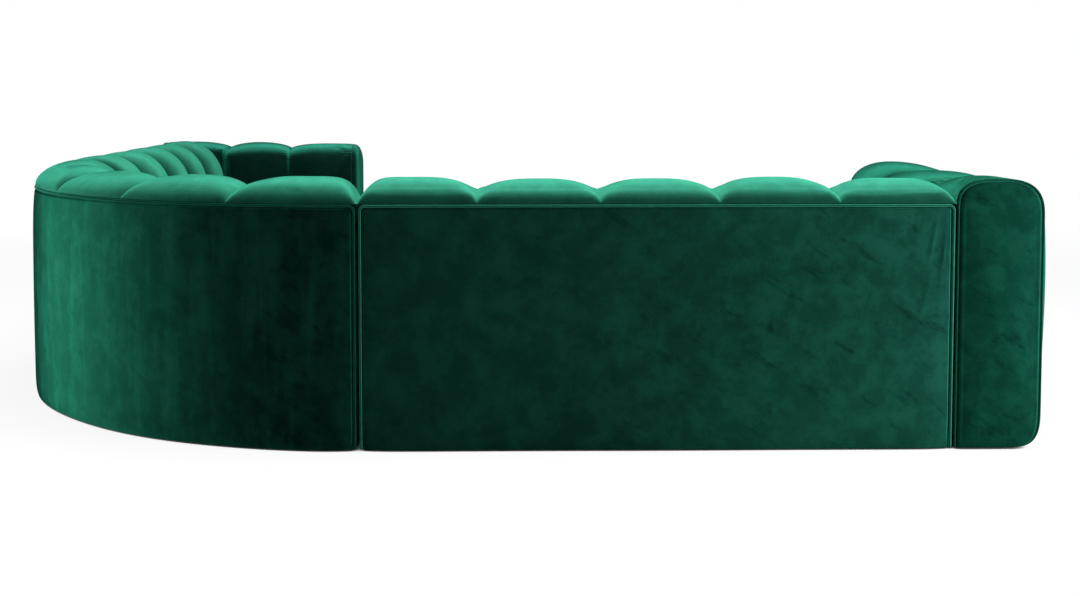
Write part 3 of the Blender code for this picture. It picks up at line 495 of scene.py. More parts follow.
def polygon_mesh(name, points, polygons):
    """Mesh of blocks of polygons, turned so that the sum of their signed cones is positive."""
    volume = 0.0
    for block in polygons:
        place = points[block]
        volume += np.einsum("ki,kji->", place[:, 0], np.cross(place[:, 1:-1], place[:, 2:]))
    if volume < 0:
        polygons = [block[:, ::-1] for block in polygons]
    sides = np.concatenate([np.full(len(block), block.shape[1]) for block in polygons])
    mesh = bpy.data.meshes.new(name)
    mesh.vertices.add(len(points))
    mesh.vertices.foreach_set("co", points.astype(np.float32).ravel())
    mesh.loops.add(int(sides.sum()))
    loops = np.concatenate([block.ravel() for block in polygons])
    mesh.loops.foreach_set("vertex_index", loops.astype(np.int32))
    mesh.polygons.add(len(sides))
    mesh.polygons.foreach_set("loop_start", (np.cumsum(sides) - sides).astype(np.int32))
    mesh.update(calc_edges=True)
    mesh.validate()
    return mesh


def add_piece(name, skin, material, body, nodes):
    """Put a closed skin into the scene, on its body and in place of its CAD nodes."""
    mesh = polygon_mesh(name, *skin)
    mesh.materials.append(material)
    mesh.shade_smooth()
    mesh.set_sharp_from_angle(angle=SHARP_ANGLE)
    piece = bpy.data.objects.new(name, mesh)
    scene.collection.objects.link(piece)
    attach(piece, body)
    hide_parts(*nodes)
    print(f"{name}: {len(mesh.vertices)} points")


def add_pair(name, skin, material, node_name):
    """The same piece on the straight module and, with x and y exchanged, on the wing."""
    points, polygons = skin
    for side, place in (("straight", points), ("wing", points[:, [1, 0, 2]])):
        add_piece(f"{side}_{name}", (place, polygons), material, side + "_module",
                  [f"{side}_{node_name}"])


print("mesh tools ready")

# %% [markdown]
# ## Padding that swells
#
# A roll is foam under a cover that is sewn down in the creases. A formula gives its drawn shape; the way a
# real cover puckers beside a seam is easier to simulate than to draw. So each skin is also hung up as cloth,
# pinned where it is sewn and blown up a little, and how far its points move is added to the drawn shape. The
# cloth is half as fine as the skin; a cubic fills in the points between.

# %% Cloth
CLOTH_FRAMES = 20
CLOTH_CAP = 0.004                 # no point moves further
TINY = 1e-9                       # keeps a divisor above 0
CLOTH_SETTINGS = {
    "quality": 7, "mass": 0.35, "tension_stiffness": 25, "compression_stiffness": 25, "shear_stiffness": 8,
    "bending_stiffness": 1.5, "shrink_min": -0.002, "use_pressure": True, "uniform_pressure_force": 4.0}


def between(rows):
    """Put a midpoint between neighbouring rows: weights -1, 9, 9, -1 over 16, as a cubic through four."""
    padded = np.concatenate([2 * rows[:1] - rows[1:2], rows, 2 * rows[-1:] - rows[-2:-1]])
    middle = (9 * (padded[1:-2] + padded[2:-1]) - padded[:-3] - padded[3:]) / 16
    fine = np.empty((2 * len(rows) - 1, *rows.shape[1:]))
    fine[::2], fine[1::2] = rows, middle
    return fine


def blow_up(points, quads, pinned):
    """Simulate a skin as cloth under pressure; return each point's move, which levels off at the cap."""
    mesh = bpy.data.meshes.new("cloth_trial")
    mesh.from_pydata(points.tolist(), [], quads.tolist())
    trial = bpy.data.objects.new("cloth_trial", mesh)
    scene.collection.objects.link(trial)
    sewn = trial.vertex_groups.new(name="sewn")
    sewn.add(np.flatnonzero(pinned).tolist(), 1.0, "REPLACE")
    cloth = trial.modifiers.new("cloth", "CLOTH")
    for name, value in CLOTH_SETTINGS.items():
        setattr(cloth.settings, name, value)
    cloth.settings.vertex_group_mass = sewn.name
    cloth.settings.effector_weights.gravity = 0.0
    cloth.collision_settings.use_collision = False
    cloth.point_cache.frame_start, cloth.point_cache.frame_end = 1, CLOTH_FRAMES
    for step in range(1, CLOTH_FRAMES + 1):
        scene.frame_set(step)
    blown = trial.evaluated_get(bpy.context.evaluated_depsgraph_get()).data
    moved = np.empty(len(points) * 3, np.float32)
    blown.vertices.foreach_get("co", moved)
    bpy.data.objects.remove(trial, do_unlink=True)
    bpy.data.meshes.remove(mesh)
    scene.frame_set(1)
    move = moved.reshape(-1, 3) - points
    length = np.linalg.norm(move, axis=1, keepdims=True)
    print(f"cloth moved {1000 * length.mean():.1f} mm on average, {1000 * length.max():.1f} mm at most")
    return move * CLOTH_CAP * np.tanh(length / CLOTH_CAP) / np.maximum(length, TINY)


def swell(skin, pins, ease):
    """Add the cloth's movement to a grid, less of it where ease is below 1; pins marks what is sewn down."""
    coarse = skin[::2, ::2]
    rows, columns = coarse.shape[:2]
    move = blow_up(coarse.reshape(-1, 3), sheet_quads(rows, columns), pins[::2, ::2].ravel())
    fine = between(between(move.reshape(rows, columns, 3)).swapaxes(0, 1)).swapaxes(0, 1)
    return skin + fine * ease[:, None]


print("cloth ready")

# %% [markdown]
# ## Back rolls
#
# Five padded channels run over the top of each back, from the piping outside, over the crest and down to the
# seat. The cover is sewn down between them, so each channel is round across and pulled in along its edges. A
# section of the back moves inwards in proportion to that pull: the drawn section plus the pull times a
# direction, for every section at once.

# %% Roll sections
CHANNEL_STEPS = 48                # points across a channel
SOFT_POWER = 0.6                  # how full an arm's channel is near its crease
SOFT_ROUND = 3.0                  # how flat a back's channel is at its crest
FOOT_ROUND = 16.0                 # how much flatter it is at the piping
END_ROUND = 3.0                   # and at either end of a back
OUTER_PULL = 0.5                  # a crease also draws in on the way down to the piping
INNER_PULL = 1.6                  # creases are deeper on the seat side
FALL_REACH = 1.25                 # the cover ends under the seat's top, at this share of the way down to it
WAVES = 4                         # that make up the unevenness of a cover
WAVE_RANGE = (3, 11)              # in radians to the metre
rng = np.random.default_rng(7)


def channel_grid(channels, steps=CHANNEL_STEPS):
    """Place 0..1 along a row of channels and -1..1 across each; points crowd towards the creases."""
    even = np.linspace(-1, 1, steps + 1)
    across = 0.5 * even + 0.5 * np.sin(math.pi / 2 * even)
    number = np.repeat(np.arange(channels), steps)
    across = np.concatenate([np.tile(across[:-1], channels), [1.0]])
    number = np.append(number, channels - 1)
    return (number + (across + 1) / 2) / channels, across, number


def roll_section():
    """Section of a full channel as (depth, height), and the direction each point moves in a crease.

    Outside: a quarter ellipse from the piping to the crest, whose rise shrinks by the pull and whose middle
    draws in.
    Inside: a quarter ellipse from the crest to the shoulder, whose radii both shrink by it.
    Below: a parabola down to the seat, drawn in less and less.
    """
    outer = np.linspace(math.pi, math.pi / 2, 31)
    inner = np.linspace(math.pi / 2, 0, 40)[1:]
    fall = np.linspace(0, FALL_REACH, 20)[1:]
    full = np.concatenate([
        np.stack([ROLL_CREST + (ROLL_CREST - PIPING_RADIUS) * np.cos(outer),
                  ROLL_FOOT + ROLL_RISE * np.sin(outer)], -1),
        np.stack([ROLL_CREST + (BACK_THICKNESS - ROLL_CREST) * np.cos(inner),
                  SHOULDER + (ROLL_FOOT + ROLL_RISE - SHOULDER) * np.sin(inner)], -1),
        np.stack([BACK_THICKNESS - BACK_TAPER * fall ** 2, SHOULDER - fall * (SHOULDER - SEAT_HEIGHT)], -1)])
    inwards = np.concatenate([
        np.stack([-OUTER_PULL * np.sin(outer) * np.cos(outer), -np.sin(outer)], -1),
        np.stack([-INNER_PULL * np.cos(inner), -np.sin(inner)], -1),
        np.stack([INNER_PULL * (1 / FALL_REACH * fall - 1), 0 * fall], -1)])
    return full, inwards


def unevenness(along, reach, size):
    """Slow hand-made unevenness: a sum of a few long waves, each a sine along times a sine across."""
    total = 0.0
    for _ in range(WAVES):
        first, second = rng.uniform(*WAVE_RANGE, 2)
        shift = rng.uniform(0, 2 * math.pi, 2)
        crosswise = np.sin(second * reach[None] * 2 + shift[1])
        total = total + np.sin(first * along[:, None] + shift[0]) * crosswise
    return size * total / 2


full, inwards = roll_section()
reach = np.concatenate([[0], np.cumsum(np.linalg.norm(np.diff(full, axis=0), axis=1))])
lowness = np.where(full[:, 0] < ROLL_CREST, 1 - (full[:, 1] - ROLL_FOOT) / ROLL_RISE, 0)
lowness[full[:, 1] < ROLL_FOOT] = 0
print(f"a cover of {reach[-1]:.2f} m from piping to seat")

# %% Back rolls
# How far each channel sinks, or stands up where it is below 0, and how far each crease lies to one side.
CROWN_SAG = {"straight": (-0.004, 0.0014, 0.0014, -0.002, 0), "corner": (0, 0.001, 0, -0.005, -0.006),
             "wing": (-0.007, -0.009, -0.011, -0.012, -0.014)}
CREASE_SHIFT = {"straight": (0, -0.001, 0.009, 0.008, 0.010, 0), "corner": (0,) * 6, "wing": (0,) * 6}
ROLL_EASE = (0.06, 0.05)          # nothing stirs at the piping and the seat, all does from here on
ROLL_UNEVEN = 0.0012
PADDING_FOOT = 0.02               # from the cover to the lining under the seat's top


def wing_room(along, depth, height):
    """Wing: the straight module with x and y exchanged."""
    return straight_room(along, depth, height)[..., [1, 0, 2]]


def back_rolls(module, room, length):
    """Loft of the rolls of one back: section plus pull times direction, closed behind round the frame."""
    place, across, number = channel_grid(CHANNELS)
    sag = np.array(CROWN_SAG[module])[number][:, None]
    last = np.where(place < 0.5, across < 0, across > 0) & (np.abs(2 * place - 1) > 1 - 1 / CHANNELS)
    square = SOFT_ROUND + FOOT_ROUND * lowness[None] + END_ROUND * last[:, None]
    fullness = 1 - np.abs(across)[:, None] ** square
    deep = np.where(last, END_DEPTH, CREASE_DEPTH)[:, None]
    pull = deep * (1 - fullness) + sag * fullness
    ease = np.clip(reach / ROLL_EASE[0], 0, 1) ** 2 * np.clip((reach[-1] - reach) / ROLL_EASE[1], 0, 1)
    pull = pull + ease * fullness * unevenness(place * length, reach, ROLL_UNEVEN)
    section = full[None] + pull[..., None] * inwards[None]
    along = SOFT_GAP + place * (length - 2 * SOFT_GAP)
    along = along + np.interp(place * CHANNELS, np.arange(CHANNELS + 1), CREASE_SHIFT[module])
    skin = room(along[:, None], section[..., 0], section[..., 1])
    pins = np.zeros(skin.shape[:2], bool)
    pins[::CHANNEL_STEPS] = True
    pins[:, :2] = pins[:, -3:] = True
    skin = swell(skin, pins, ease)
    behind = np.array([(BACK_THICKNESS - BACK_TAPER - PADDING_FOOT, SEAT_BOTTOM), (BASE_BACK, SEAT_BOTTOM),
                       (BASE_BACK, BACK_FRAME_TOP), (FRAME_BACK, BACK_FRAME_TOP), (FRAME_BACK, ROLL_FOOT)])
    lining = room(along[:, None], behind[None, :, 0], behind[None, :, 1])
    return loft(np.concatenate([skin, lining], 1))


for module, body, room, length, cover in (("straight", "straight_module", straight_room, RUN, velvet_rolls),
                                          ("corner", "corner", corner_room, CORNER_RUN, velvet_round),
                                          ("wing", "wing_module", wing_room, RUN, velvet_inside)):
    add_piece(module + "_back_rolls", back_rolls(module, room, length), cover, body,
              [module + "_back_channels"])

# %% [markdown]
# ## Outside back panels
#
# Plain velvet over padding, sewn into the piping along both sides and the top and tucked under at the floor.
# A flat board would catch the light evenly, which cloth never does, so the face swells slightly, dives into
# the seams and wanders by a millimetre. Beside an arm, where the cover is slack, it also lies in folds.

# %% Outside backs
PANEL_DROP = 0.0015               # below the middle of the piping
PANEL_TOP = PIPING_HEIGHT - PANEL_DROP
PANEL_TURN = 0.0125
PANEL_EDGE = 0.004                # depth of the face at its edges
PANEL_SWELL = 0.010
SWELL_REACH = (0.042, 0.055)      # how fast the swell builds up from the sides and from the top
PANEL_UNEVEN = 0.0011
WAVE_HEIGHT = 0.65                # over which its waves are laid
FINE_EDGE = 0.03                  # rows are closer up to here, at the top and at the foot
SEAM_DIP = 0.006                  # depth of the groove beside the piping
GROOVE = (0.0065, 0.0008)         # its width, and how sharp its lip is
HEM_TUCK = 0.006
TUCK_REACH = 0.018
FLANGE_DEPTH = 0.0125             # the cover goes on under the piping beside an arm
FLANGE_STEP = 0.0002
FOLDS = (                         # from and to, each as along and height, then half width and rise
    (1.548, 0.635, 1.522, 0.500, 0.0052, 0.0046), (1.572, 0.630, 1.556, 0.440, 0.0050, 0.0040),
    (1.496, 0.642, 1.490, 0.590, 0.0045, 0.0024), (1.530, 0.470, 1.500, 0.360, 0.0070, 0.0030),
    (0.760, 0.130, 0.955, 0.245, 0.0120, 0.0011), (0.700, 0.100, 0.880, 0.180, 0.0100, 0.0008),
    (1.060, 0.085, 1.330, 0.030, 0.0080, 0.0010), (0.430, 0.642, 0.436, 0.610, 0.0060, 0.0008))
FOLD_END = 0.25                   # share of a fold's rise that is left at its ends


def folds(along, height):
    """Ridges of slack cloth: a bell curve of the distance to each one's line, thinner towards its ends."""
    rise = 0.0
    for x, z, to_x, to_z, width, tall in FOLDS:
        way = np.array([to_x - x, to_z - z])
        share = np.clip(((along - x) * way[0] + (height - z) * way[1]) / (way @ way), 0, 1)
        gap = np.hypot(along - x - share * way[0], height - z - share * way[1])
        thin = FOLD_END + (1 - FOLD_END) * np.sin(math.pi * share)
        rise = rise + tall * np.exp(-(gap / width) ** 2) * thin
    return rise


def outside_back(room, length, beside_arm=False):
    """Face at depth: edge depth less the swell, plus a groove beside each sewn edge, its lip a smooth step.

    Beside an arm the cover lies in folds, and a strip of it goes on under the piping.
    """
    ends = PANEL_INSET + np.linspace(0, PANEL_TURN, 22)
    along = np.concatenate([ends, np.linspace(ends[-1], length - ends[-1], 321)[1:-1], length - ends[::-1]])
    inside = np.minimum(along, length - along) - PANEL_INSET
    round_off = np.clip(1 - inside / PANEL_TURN, 0, 1)
    top = PANEL_TOP - PANEL_TURN * (1 - np.sqrt(1 - round_off ** 2))
    near = np.concatenate([np.linspace(0, PANEL_TURN, 19), np.linspace(PANEL_TURN, FINE_EDGE, 7)[1:]])
    tall = PANEL_TOP - FLOOR_GAP
    even = np.linspace(FINE_EDGE, tall - FINE_EDGE, 91)[1:-1]
    rise = np.concatenate([near, even, tall - near[::-1]]) / tall
    height = FLOOR_GAP + rise[None] * (top - FLOOR_GAP)[:, None]
    below = top[:, None] - height
    belly = (1 - np.exp(-inside / SWELL_REACH[0]))[:, None] * (1 - np.exp(-below / SWELL_REACH[1]))
    depth = PANEL_EDGE - PANEL_SWELL * belly + belly * unevenness(along, rise * WAVE_HEIGHT, PANEL_UNEVEN)
    if beside_arm:
        depth = depth - folds(along[:, None], height)
    edge = np.minimum(inside[:, None], below)
    groove = SEAM_DIP / 2 * (1 - np.tanh((edge - GROOVE[0]) / (2 * GROOVE[1])))
    depth = depth + groove + HEM_TUCK * np.exp(-(height - FLOOR_GAP) / TUCK_REACH)
    face = room(along[:, None], depth, height)
    back = np.stack([room(along, PANEL_THICKNESS, top), room(along, PANEL_THICKNESS, FLOOR_GAP + 0 * top)], 1)
    rows = np.concatenate([face, back], 1)
    if beside_arm:
        reach_out = np.array([length - PANEL_INSET + FLANGE_STEP, length - SOFT_GAP])[:, None]
        hems = np.array([[top[-1], FLOOR_GAP]])
        strip = [room(reach_out, FLANGE_DEPTH, height[-1:]), room(reach_out, PANEL_THICKNESS, hems)]
        rows = np.concatenate([rows, np.concatenate(strip, 1)])
    return loft(rows)


add_pair("back_cover", outside_back(straight_room, RUN, beside_arm=True), velvet_panels,
         "outside_back")
add_piece("corner_back_cover", outside_back(corner_room, CORNER_RUN), velvet_wall, "corner",
          ["corner_outside_back"])

# %% [markdown]
# ## Piping
#
# A cord sewn into a strip of the same velvet. It runs up one edge of a panel, along the top and down again,
# and round the D of each arm's end. It could be a curve with a bevel; a tube worked out on a grid keeps its
# sides facing the same way all along, because the ring is built on the panel's own outward direction.

# %% Piping
CORD_SIDES = 14
PIPING_TURN = 0.014               # radius at the top corners
PIPING_FOOT = 0.003               # from the hem up to its ends


def tube(path, outward, radius):
    """Rings round a path: the outward direction and the one square to it and to the path span each ring."""
    forward = np.gradient(path, axis=0)
    forward /= np.linalg.norm(forward, axis=1, keepdims=True)
    sideways = np.cross(forward, outward)
    sideways /= np.linalg.norm(sideways, axis=1, keepdims=True)
    turn = np.linspace(0, 2 * math.pi, CORD_SIDES, endpoint=False)[:, None]
    return loft(path[:, None] + radius * (np.cos(turn) * outward[:, None] + np.sin(turn) * sideways[:, None]))


def back_piping(room, length):
    """Up, along and down the edge of an outside back, with a small round turn at each top corner."""
    bend = np.linspace(0, math.pi / 2, 9)
    rise = np.linspace(FLOOR_GAP + PIPING_FOOT, PIPING_HEIGHT - PIPING_TURN, 40)[:-1]
    level = np.linspace(PIPING_INSET + PIPING_TURN, length - PIPING_INSET - PIPING_TURN, 180)[1:-1]
    first = np.append(np.full_like(rise, PIPING_INSET), PIPING_INSET + PIPING_TURN * (1 - np.cos(bend)))
    climb = np.append(rise, PIPING_HEIGHT - PIPING_TURN * (1 - np.sin(bend)))
    along = np.concatenate([first, level, length - first[::-1]])
    height = np.concatenate([climb, np.full_like(level, PIPING_HEIGHT), climb[::-1]])
    path = room(along, PIPING_RADIUS, height)
    outward = room(along, PIPING_RADIUS - 1.0, height) - path
    return tube(path, outward, CORD_RADIUS)


add_pair("back_cord", back_piping(straight_room, RUN), velvet_piping, "back_piping")
add_piece("corner_back_cord", back_piping(corner_room, CORNER_RUN), velvet_edge, "corner",
          ["corner_back_piping"])

# %% [markdown]
# ## Arms
#
# An arm is three padded channels over its top and inside, a plain outer side, a D-shaped panel with piping at
# the back and a round padded front. In front of the back the padding stands further in towards the seat. The
# section is again a drawn shape plus the pull of the creases, and the outer side swells past the piping.

# %% Arm sections
ARCH_STEPS = 97                   # points over the top
ARM_TURNS = (0.078, 0.106)        # height of the round inside and outside
BACK_ARCH = (1.720, 2.8)          # where the top is highest at the back end, and how square its round is
FRONT_ARCH = (1.628, 2.05)
ARCH_DEPTH = 0.700                # from here on the front arch
ARM_BULGE = 0.016                 # padding past the CAD's inner face
SIDE_SWELL = 0.031
SWELL_FOOT = 0.02                 # height at which it begins
SWELL_END = 0.035                 # how fast it builds up from either end
SWELL_POWERS = (1.4, 0.8)         # how high its fullest place is, and how full it is there


def arm_arch(inner, outer, peak, power, lower=0.0):
    """Top of an arm from inside to outside: two quarters of a superellipse that meet at the peak.

    Shares of half width and of turn, each to the power, add up to 1; an angle falls from pi to 0.
    """
    angle = np.linspace(math.pi, 0, ARCH_STEPS)[None]
    inside = np.cos(angle) < 0
    half, tall = np.where(inside, peak - inner, outer - peak), np.where(inside, *ARM_TURNS)
    station = peak + np.sign(np.cos(angle)) * half * np.abs(np.cos(angle)) ** (2 / power)
    return station, ARM_HEIGHT - tall + (tall - lower) * np.abs(np.sin(angle)) ** (2 / power)


def side_swell(depth, height):
    """Swell of the arm's outer side: a sine of the height, fullest above the middle, nothing at its ends."""
    share = np.clip((height - SWELL_FOOT) / (ARM_HEIGHT - SWELL_FOOT), 0, 1)
    ends = (1 - np.exp(-(depth - FRAME_BACK) / SWELL_END)) * (1 - np.exp(-(ARM_FRONT - depth) / SWELL_END))
    return SIDE_SWELL * ends * np.sin(math.pi * share ** SWELL_POWERS[0]) ** SWELL_POWERS[1]


def smooth(value, low, high):
    """0 up to low and 1 from high on; between them the cubic 3 s s - 2 s s s of the share s."""
    share = np.clip((value - low) / (high - low), 0, 1)
    return share * share * (3 - 2 * share)


def bulge(height):
    """Padding past the CAD's inner face: none beside the seat, all of it where the round begins."""
    return ARM_BULGE * smooth(height, SEAT_HEIGHT, ARM_HEIGHT - ARM_TURNS[0])


print(f"arm {ARM_WIDTH:.3f} m wide, {SIDE_SWELL:.3f} m of swell outside")

# %% Arm rolls
ARM_STEPS = 44                    # points along a channel
ARM_CROWNS = {"straight": (-0.003, -0.002, 0.011), "wing": (0.002, 0.001, -0.003)}  # how high each stands
ARM_EASE = (0.1, 0.03)            # nothing stirs at the seat and the outer seam, all does from here on
ARM_UNEVEN = 0.0010
END_CREASES = (0.0, 0.2)          # share of a crease's depth at the back end and at the front end
OVERHANG_TURN = 0.026             # over which the padding steps in, in front of the back
LOW_PULL = 0.25                   # share of the pull that is left beside the seat
GATHER_SIZE = 0.0012
GATHER_WAVE = (0.012, 0.017)      # shortest and longest ripple
GATHER_REACH = 0.055              # share of half a channel at which the ripples are strongest
GATHER_SPOT = (0.5, 0.13)         # middle and half width of the gathered part, as shares of the cover


def gathers(across, number, reach):
    """Puckers where the cover is sewn down over the inner round.

    Ripples along the seam: a sine of the reach, times a bell curve along it, strongest beside the seam.
    """
    wave = rng.uniform(*GATHER_WAVE, ARM_CHANNELS + 1)
    phase = rng.uniform(0, 2 * math.pi, ARM_CHANNELS + 1)
    crease = number + (across > 0)
    away = (1 - np.abs(across)) / GATHER_REACH
    middle, half = [share * reach[-1] for share in GATHER_SPOT]
    ripple = np.sin(2 * math.pi * reach / wave[crease][:, None] + phase[crease][:, None])
    return (away * np.exp(1 - away))[:, None] * np.exp(-((reach - middle) / half) ** 2) * ripple


def arm_rolls(crowns):
    """Loft along the depth: up the inside, over the arch, down to the seam on the outside, less the pull."""
    place, across, number = channel_grid(ARM_CHANNELS, ARM_STEPS)
    depth = (FRAME_BACK + place * (ARM_FRONT - FRAME_BACK))[:, None]
    end = np.minimum(place, 1 - place) * ARM_CHANNELS < 0.5
    outermost = end & (np.sign(across) == np.where(place < 0.5, -1, 1))
    crease = np.where(outermost, np.where(place < 0.5, *END_CREASES), 1.0) * ARM_CREASE_DEPTH
    fullness = (1 - across ** 2) ** SOFT_POWER
    over = smooth(depth, BACK_THICKNESS, BACK_THICKNESS + OVERHANG_TURN)
    forward = np.clip((depth - BACK_THICKNESS) / (ARCH_DEPTH - BACK_THICKNESS), 0, 1)
    peak, power = [back + (front - back) * forward for back, front in zip(BACK_ARCH, FRONT_ARCH)]
    inner = ARM_INNER - ARM_OVERHANG * over
    top_station, top_height = arm_arch(inner - ARM_BULGE * over, ARM_OUTER, peak, power)
    climb = np.linspace(0, 1, 27)[None, :-1]
    angle = np.linspace(math.pi, 0, ARCH_STEPS)[None]
    rise = SEAT_BOTTOM + (ARM_HEIGHT - ARM_TURNS[0] - SEAT_BOTTOM) * climb + 0 * depth
    station = np.concatenate([inner - over * bulge(rise), top_station], 1)
    height = np.concatenate([rise, top_height], 1)
    step = np.hypot(np.diff(station[-1]), np.diff(height[-1]))
    reach = np.append(0, np.cumsum(step))
    ease = np.clip(reach / ARM_EASE[0], 0, 1) * np.clip((reach[-1] - reach) / ARM_EASE[1], 0, 1)
    pull = (crease * (1 - fullness) - np.array(crowns)[number] * fullness)[:, None] + ease * (
        GATHER_SIZE * gathers(across, number, reach)
        + (1 - across[:, None] ** 2) * unevenness(depth[:, 0], reach, ARM_UNEVEN))
    sideways = np.concatenate([LOW_PULL + (1 - LOW_PULL) * bulge(rise[:1]) / ARM_BULGE,
                               np.maximum(-np.cos(angle), 0)], 1)
    downward = np.concatenate([0 * climb, np.sin(angle)], 1)
    outside = np.clip((station - peak) / (ARM_OUTER - peak), 0, 1)
    skin = straight_room(station + pull * sideways + outside * side_swell(depth, height), depth,
                         height - pull * downward)
    pins = np.zeros(skin.shape[:2], bool)
    pins[::ARM_STEPS] = True
    pins[:, :4] = pins[:, -2:] = True
    skin = swell(skin, pins, ease)
    behind = np.array([(ARM_FRAME_OUTER, ARM_HEIGHT - ARM_TURNS[1]), (ARM_FRAME_OUTER, ARM_FRAME_TOP),
                       (ARM_FRAME_INNER, ARM_FRAME_TOP), (ARM_FRAME_INNER, SEAT_BOTTOM)])
    lining = straight_room(behind[None, :, 0], depth, behind[None, :, 1])
    return loft(np.concatenate([skin, lining], 1))


for side, cover, order in (("straight", velvet_arms, [0, 1, 2]), ("wing", velvet_far_arms, [1, 0, 2])):
    points, polygons = arm_rolls(ARM_CROWNS[side])
    add_piece(side + "_arm_rolls", (points[:, order], polygons), cover, side + "_module",
              [side + "_arm_channels"])

# %% Arm sides
ARM_FOOT = (0.085, 0.110)         # width and height of the round under the outer side
FOOT_POWER = 3.3
SIDE_FINE = 0.06                  # rows are closer up to here, at either end
SIDE_TOP_FINE = 0.012             # and up to here under the seam
SIDE_GAP = 0.0004                 # between the side and the rolls
SIDE_TUCK = (0.004, 0.003)        # how far the side dives into the seam, and how fast


def arm_foot(outer, foot, inset=0.0):
    """Quarter superellipse from the outer side down to the foot, drawn in by an inset."""
    angle = np.linspace(0, math.pi / 2, 27)[None]
    wide, tall = ARM_FOOT
    return (outer - wide + (wide - inset) * np.cos(angle) ** (2 / FOOT_POWER),
            FLOOR_GAP + tall - (FLOOR_GAP + tall - foot) * np.sin(angle) ** (2 / FOOT_POWER))


def arm_side():
    """Loft along the depth: down from the seam, swollen, and turned under at the foot."""
    depth = np.concatenate([FRAME_BACK + SIDE_FINE * np.linspace(0, 1, 14)[:-1] ** 2,
                            np.linspace(FRAME_BACK + SIDE_FINE, ARM_FRONT - SIDE_FINE, 41)[:-1],
                            ARM_FRONT - SIDE_FINE * np.linspace(1, 0, 14) ** 2])[:, None]
    top = ARM_HEIGHT - ARM_TURNS[1] - SIDE_GAP
    drop = np.concatenate([SIDE_TOP_FINE * np.linspace(0, 1, 7)[:-1] ** 2,
                           np.linspace(SIDE_TOP_FINE, top - FLOOR_GAP - ARM_FOOT[1], 45)[:-1]])
    foot_station, foot_height = arm_foot(ARM_OUTER, FLOOR_GAP)
    station = np.append(ARM_OUTER - SIDE_TUCK[0] * np.exp(-drop / SIDE_TUCK[1]), foot_station)[None]
    height = np.append(top - drop, foot_height)[None]
    outside = straight_room(station + side_swell(depth, height), depth, height)
    inside_station, inside_height = arm_foot(ARM_OUTER, FLOOR_GAP + PANEL_THICKNESS, PANEL_THICKNESS)
    lining = straight_room(np.append(inside_station[0, ::-1], ARM_FRAME_OUTER)[None], depth,
                           np.append(inside_height[0, ::-1], top)[None])
    return loft(np.concatenate([outside, lining], 1))


add_pair("arm_side", arm_side(), velvet_ends, "arm_outside_panel")

# %% Arm ends
DOME_RINGS = 26


def arm_outline(inset, lift, arch, overhang=0.0, side=0.0, padding=0.0):
    """D of an arm's end as rows of (station, height): up the inside, over the top, down and under.

    Each row is drawn in by an inset, at the foot by a share of it, the lift.
    """
    inset = np.asarray(inset, float).reshape(-1, 1)
    inner, outer, foot = ARM_INNER - overhang + inset, ARM_OUTER - side - inset, FLOOR_GAP + lift * inset
    rise, run = np.linspace(0, 1, 31)[None, :-1], np.linspace(0, 1, 9)[None, 1:-1]
    high, low = ARM_HEIGHT - ARM_TURNS[1], FLOOR_GAP + ARM_FOOT[1]
    foot_station, foot_height = arm_foot(ARM_OUTER - side, foot, inset)
    climb = foot + (ARM_HEIGHT - ARM_TURNS[0] - foot) * rise
    parts = [(inner - padding * bulge(climb), climb),
             arm_arch(inner - padding * ARM_BULGE, outer, *arch, lower=inset),
             (outer + 0 * rise[:, 1:], high + (low - high) * rise[:, 1:] + 0 * inset),
             (foot_station, foot_height),
             (foot_station[:, -1:] + (inner - foot_station[:, -1:]) * run, foot + 0 * run)]
    return np.concatenate([part[0] for part in parts], 1), np.concatenate([part[1] for part in parts], 1)


def domed_end(outline, depth, crown):
    """Rings of the D stepped inwards along a rounded edge, then drawn together to its middle as a low dome.

    The dome's depth is its crown times one minus the square of the distance from the middle.
    """
    station, height = outline
    middle = [(line[-1].min() + line[-1].max()) / 2 for line in outline]
    shrink = np.linspace(1, 0.02, DOME_RINGS)[1:, None]
    station = np.concatenate([station, middle[0] + shrink * (station[-1] - middle[0])])
    height = np.concatenate([height, middle[1] + shrink * (height[-1] - middle[1])])
    swollen = depth[-1] + crown * (1 - shrink[:, 0] ** 2)
    return loft(straight_room(station, np.concatenate([depth, swollen])[:, None], height))


print(f"domes of {DOME_RINGS} rings")

# %% Arm back pads
BACK_PAD_INSET = 0.0062
BACK_PAD_ROUND = 0.014
BACK_PAD_SIDE = 0.004             # the outer side stands out past the back pad
BACK_PAD_LIFT = 0.1
BACK_PAD_RISE = (0.012, 0.013)    # depth at which its round begins, and height of the round
BACK_PAD_CROWN = -0.022
bend = np.linspace(0, math.pi / 2, 12)
back_inset = np.append(BACK_PAD_INSET, BACK_PAD_INSET + BACK_PAD_ROUND * (1 - np.cos(bend)))
back_depth = np.append(PANEL_THICKNESS, BACK_PAD_RISE[0] - BACK_PAD_RISE[1] * np.sin(bend))
back_outline = arm_outline(back_inset, BACK_PAD_LIFT, BACK_ARCH, side=BACK_PAD_SIDE)
add_pair("arm_back_pad", domed_end(back_outline, back_depth, BACK_PAD_CROWN), velvet_ends,
         "arm_back_panel")

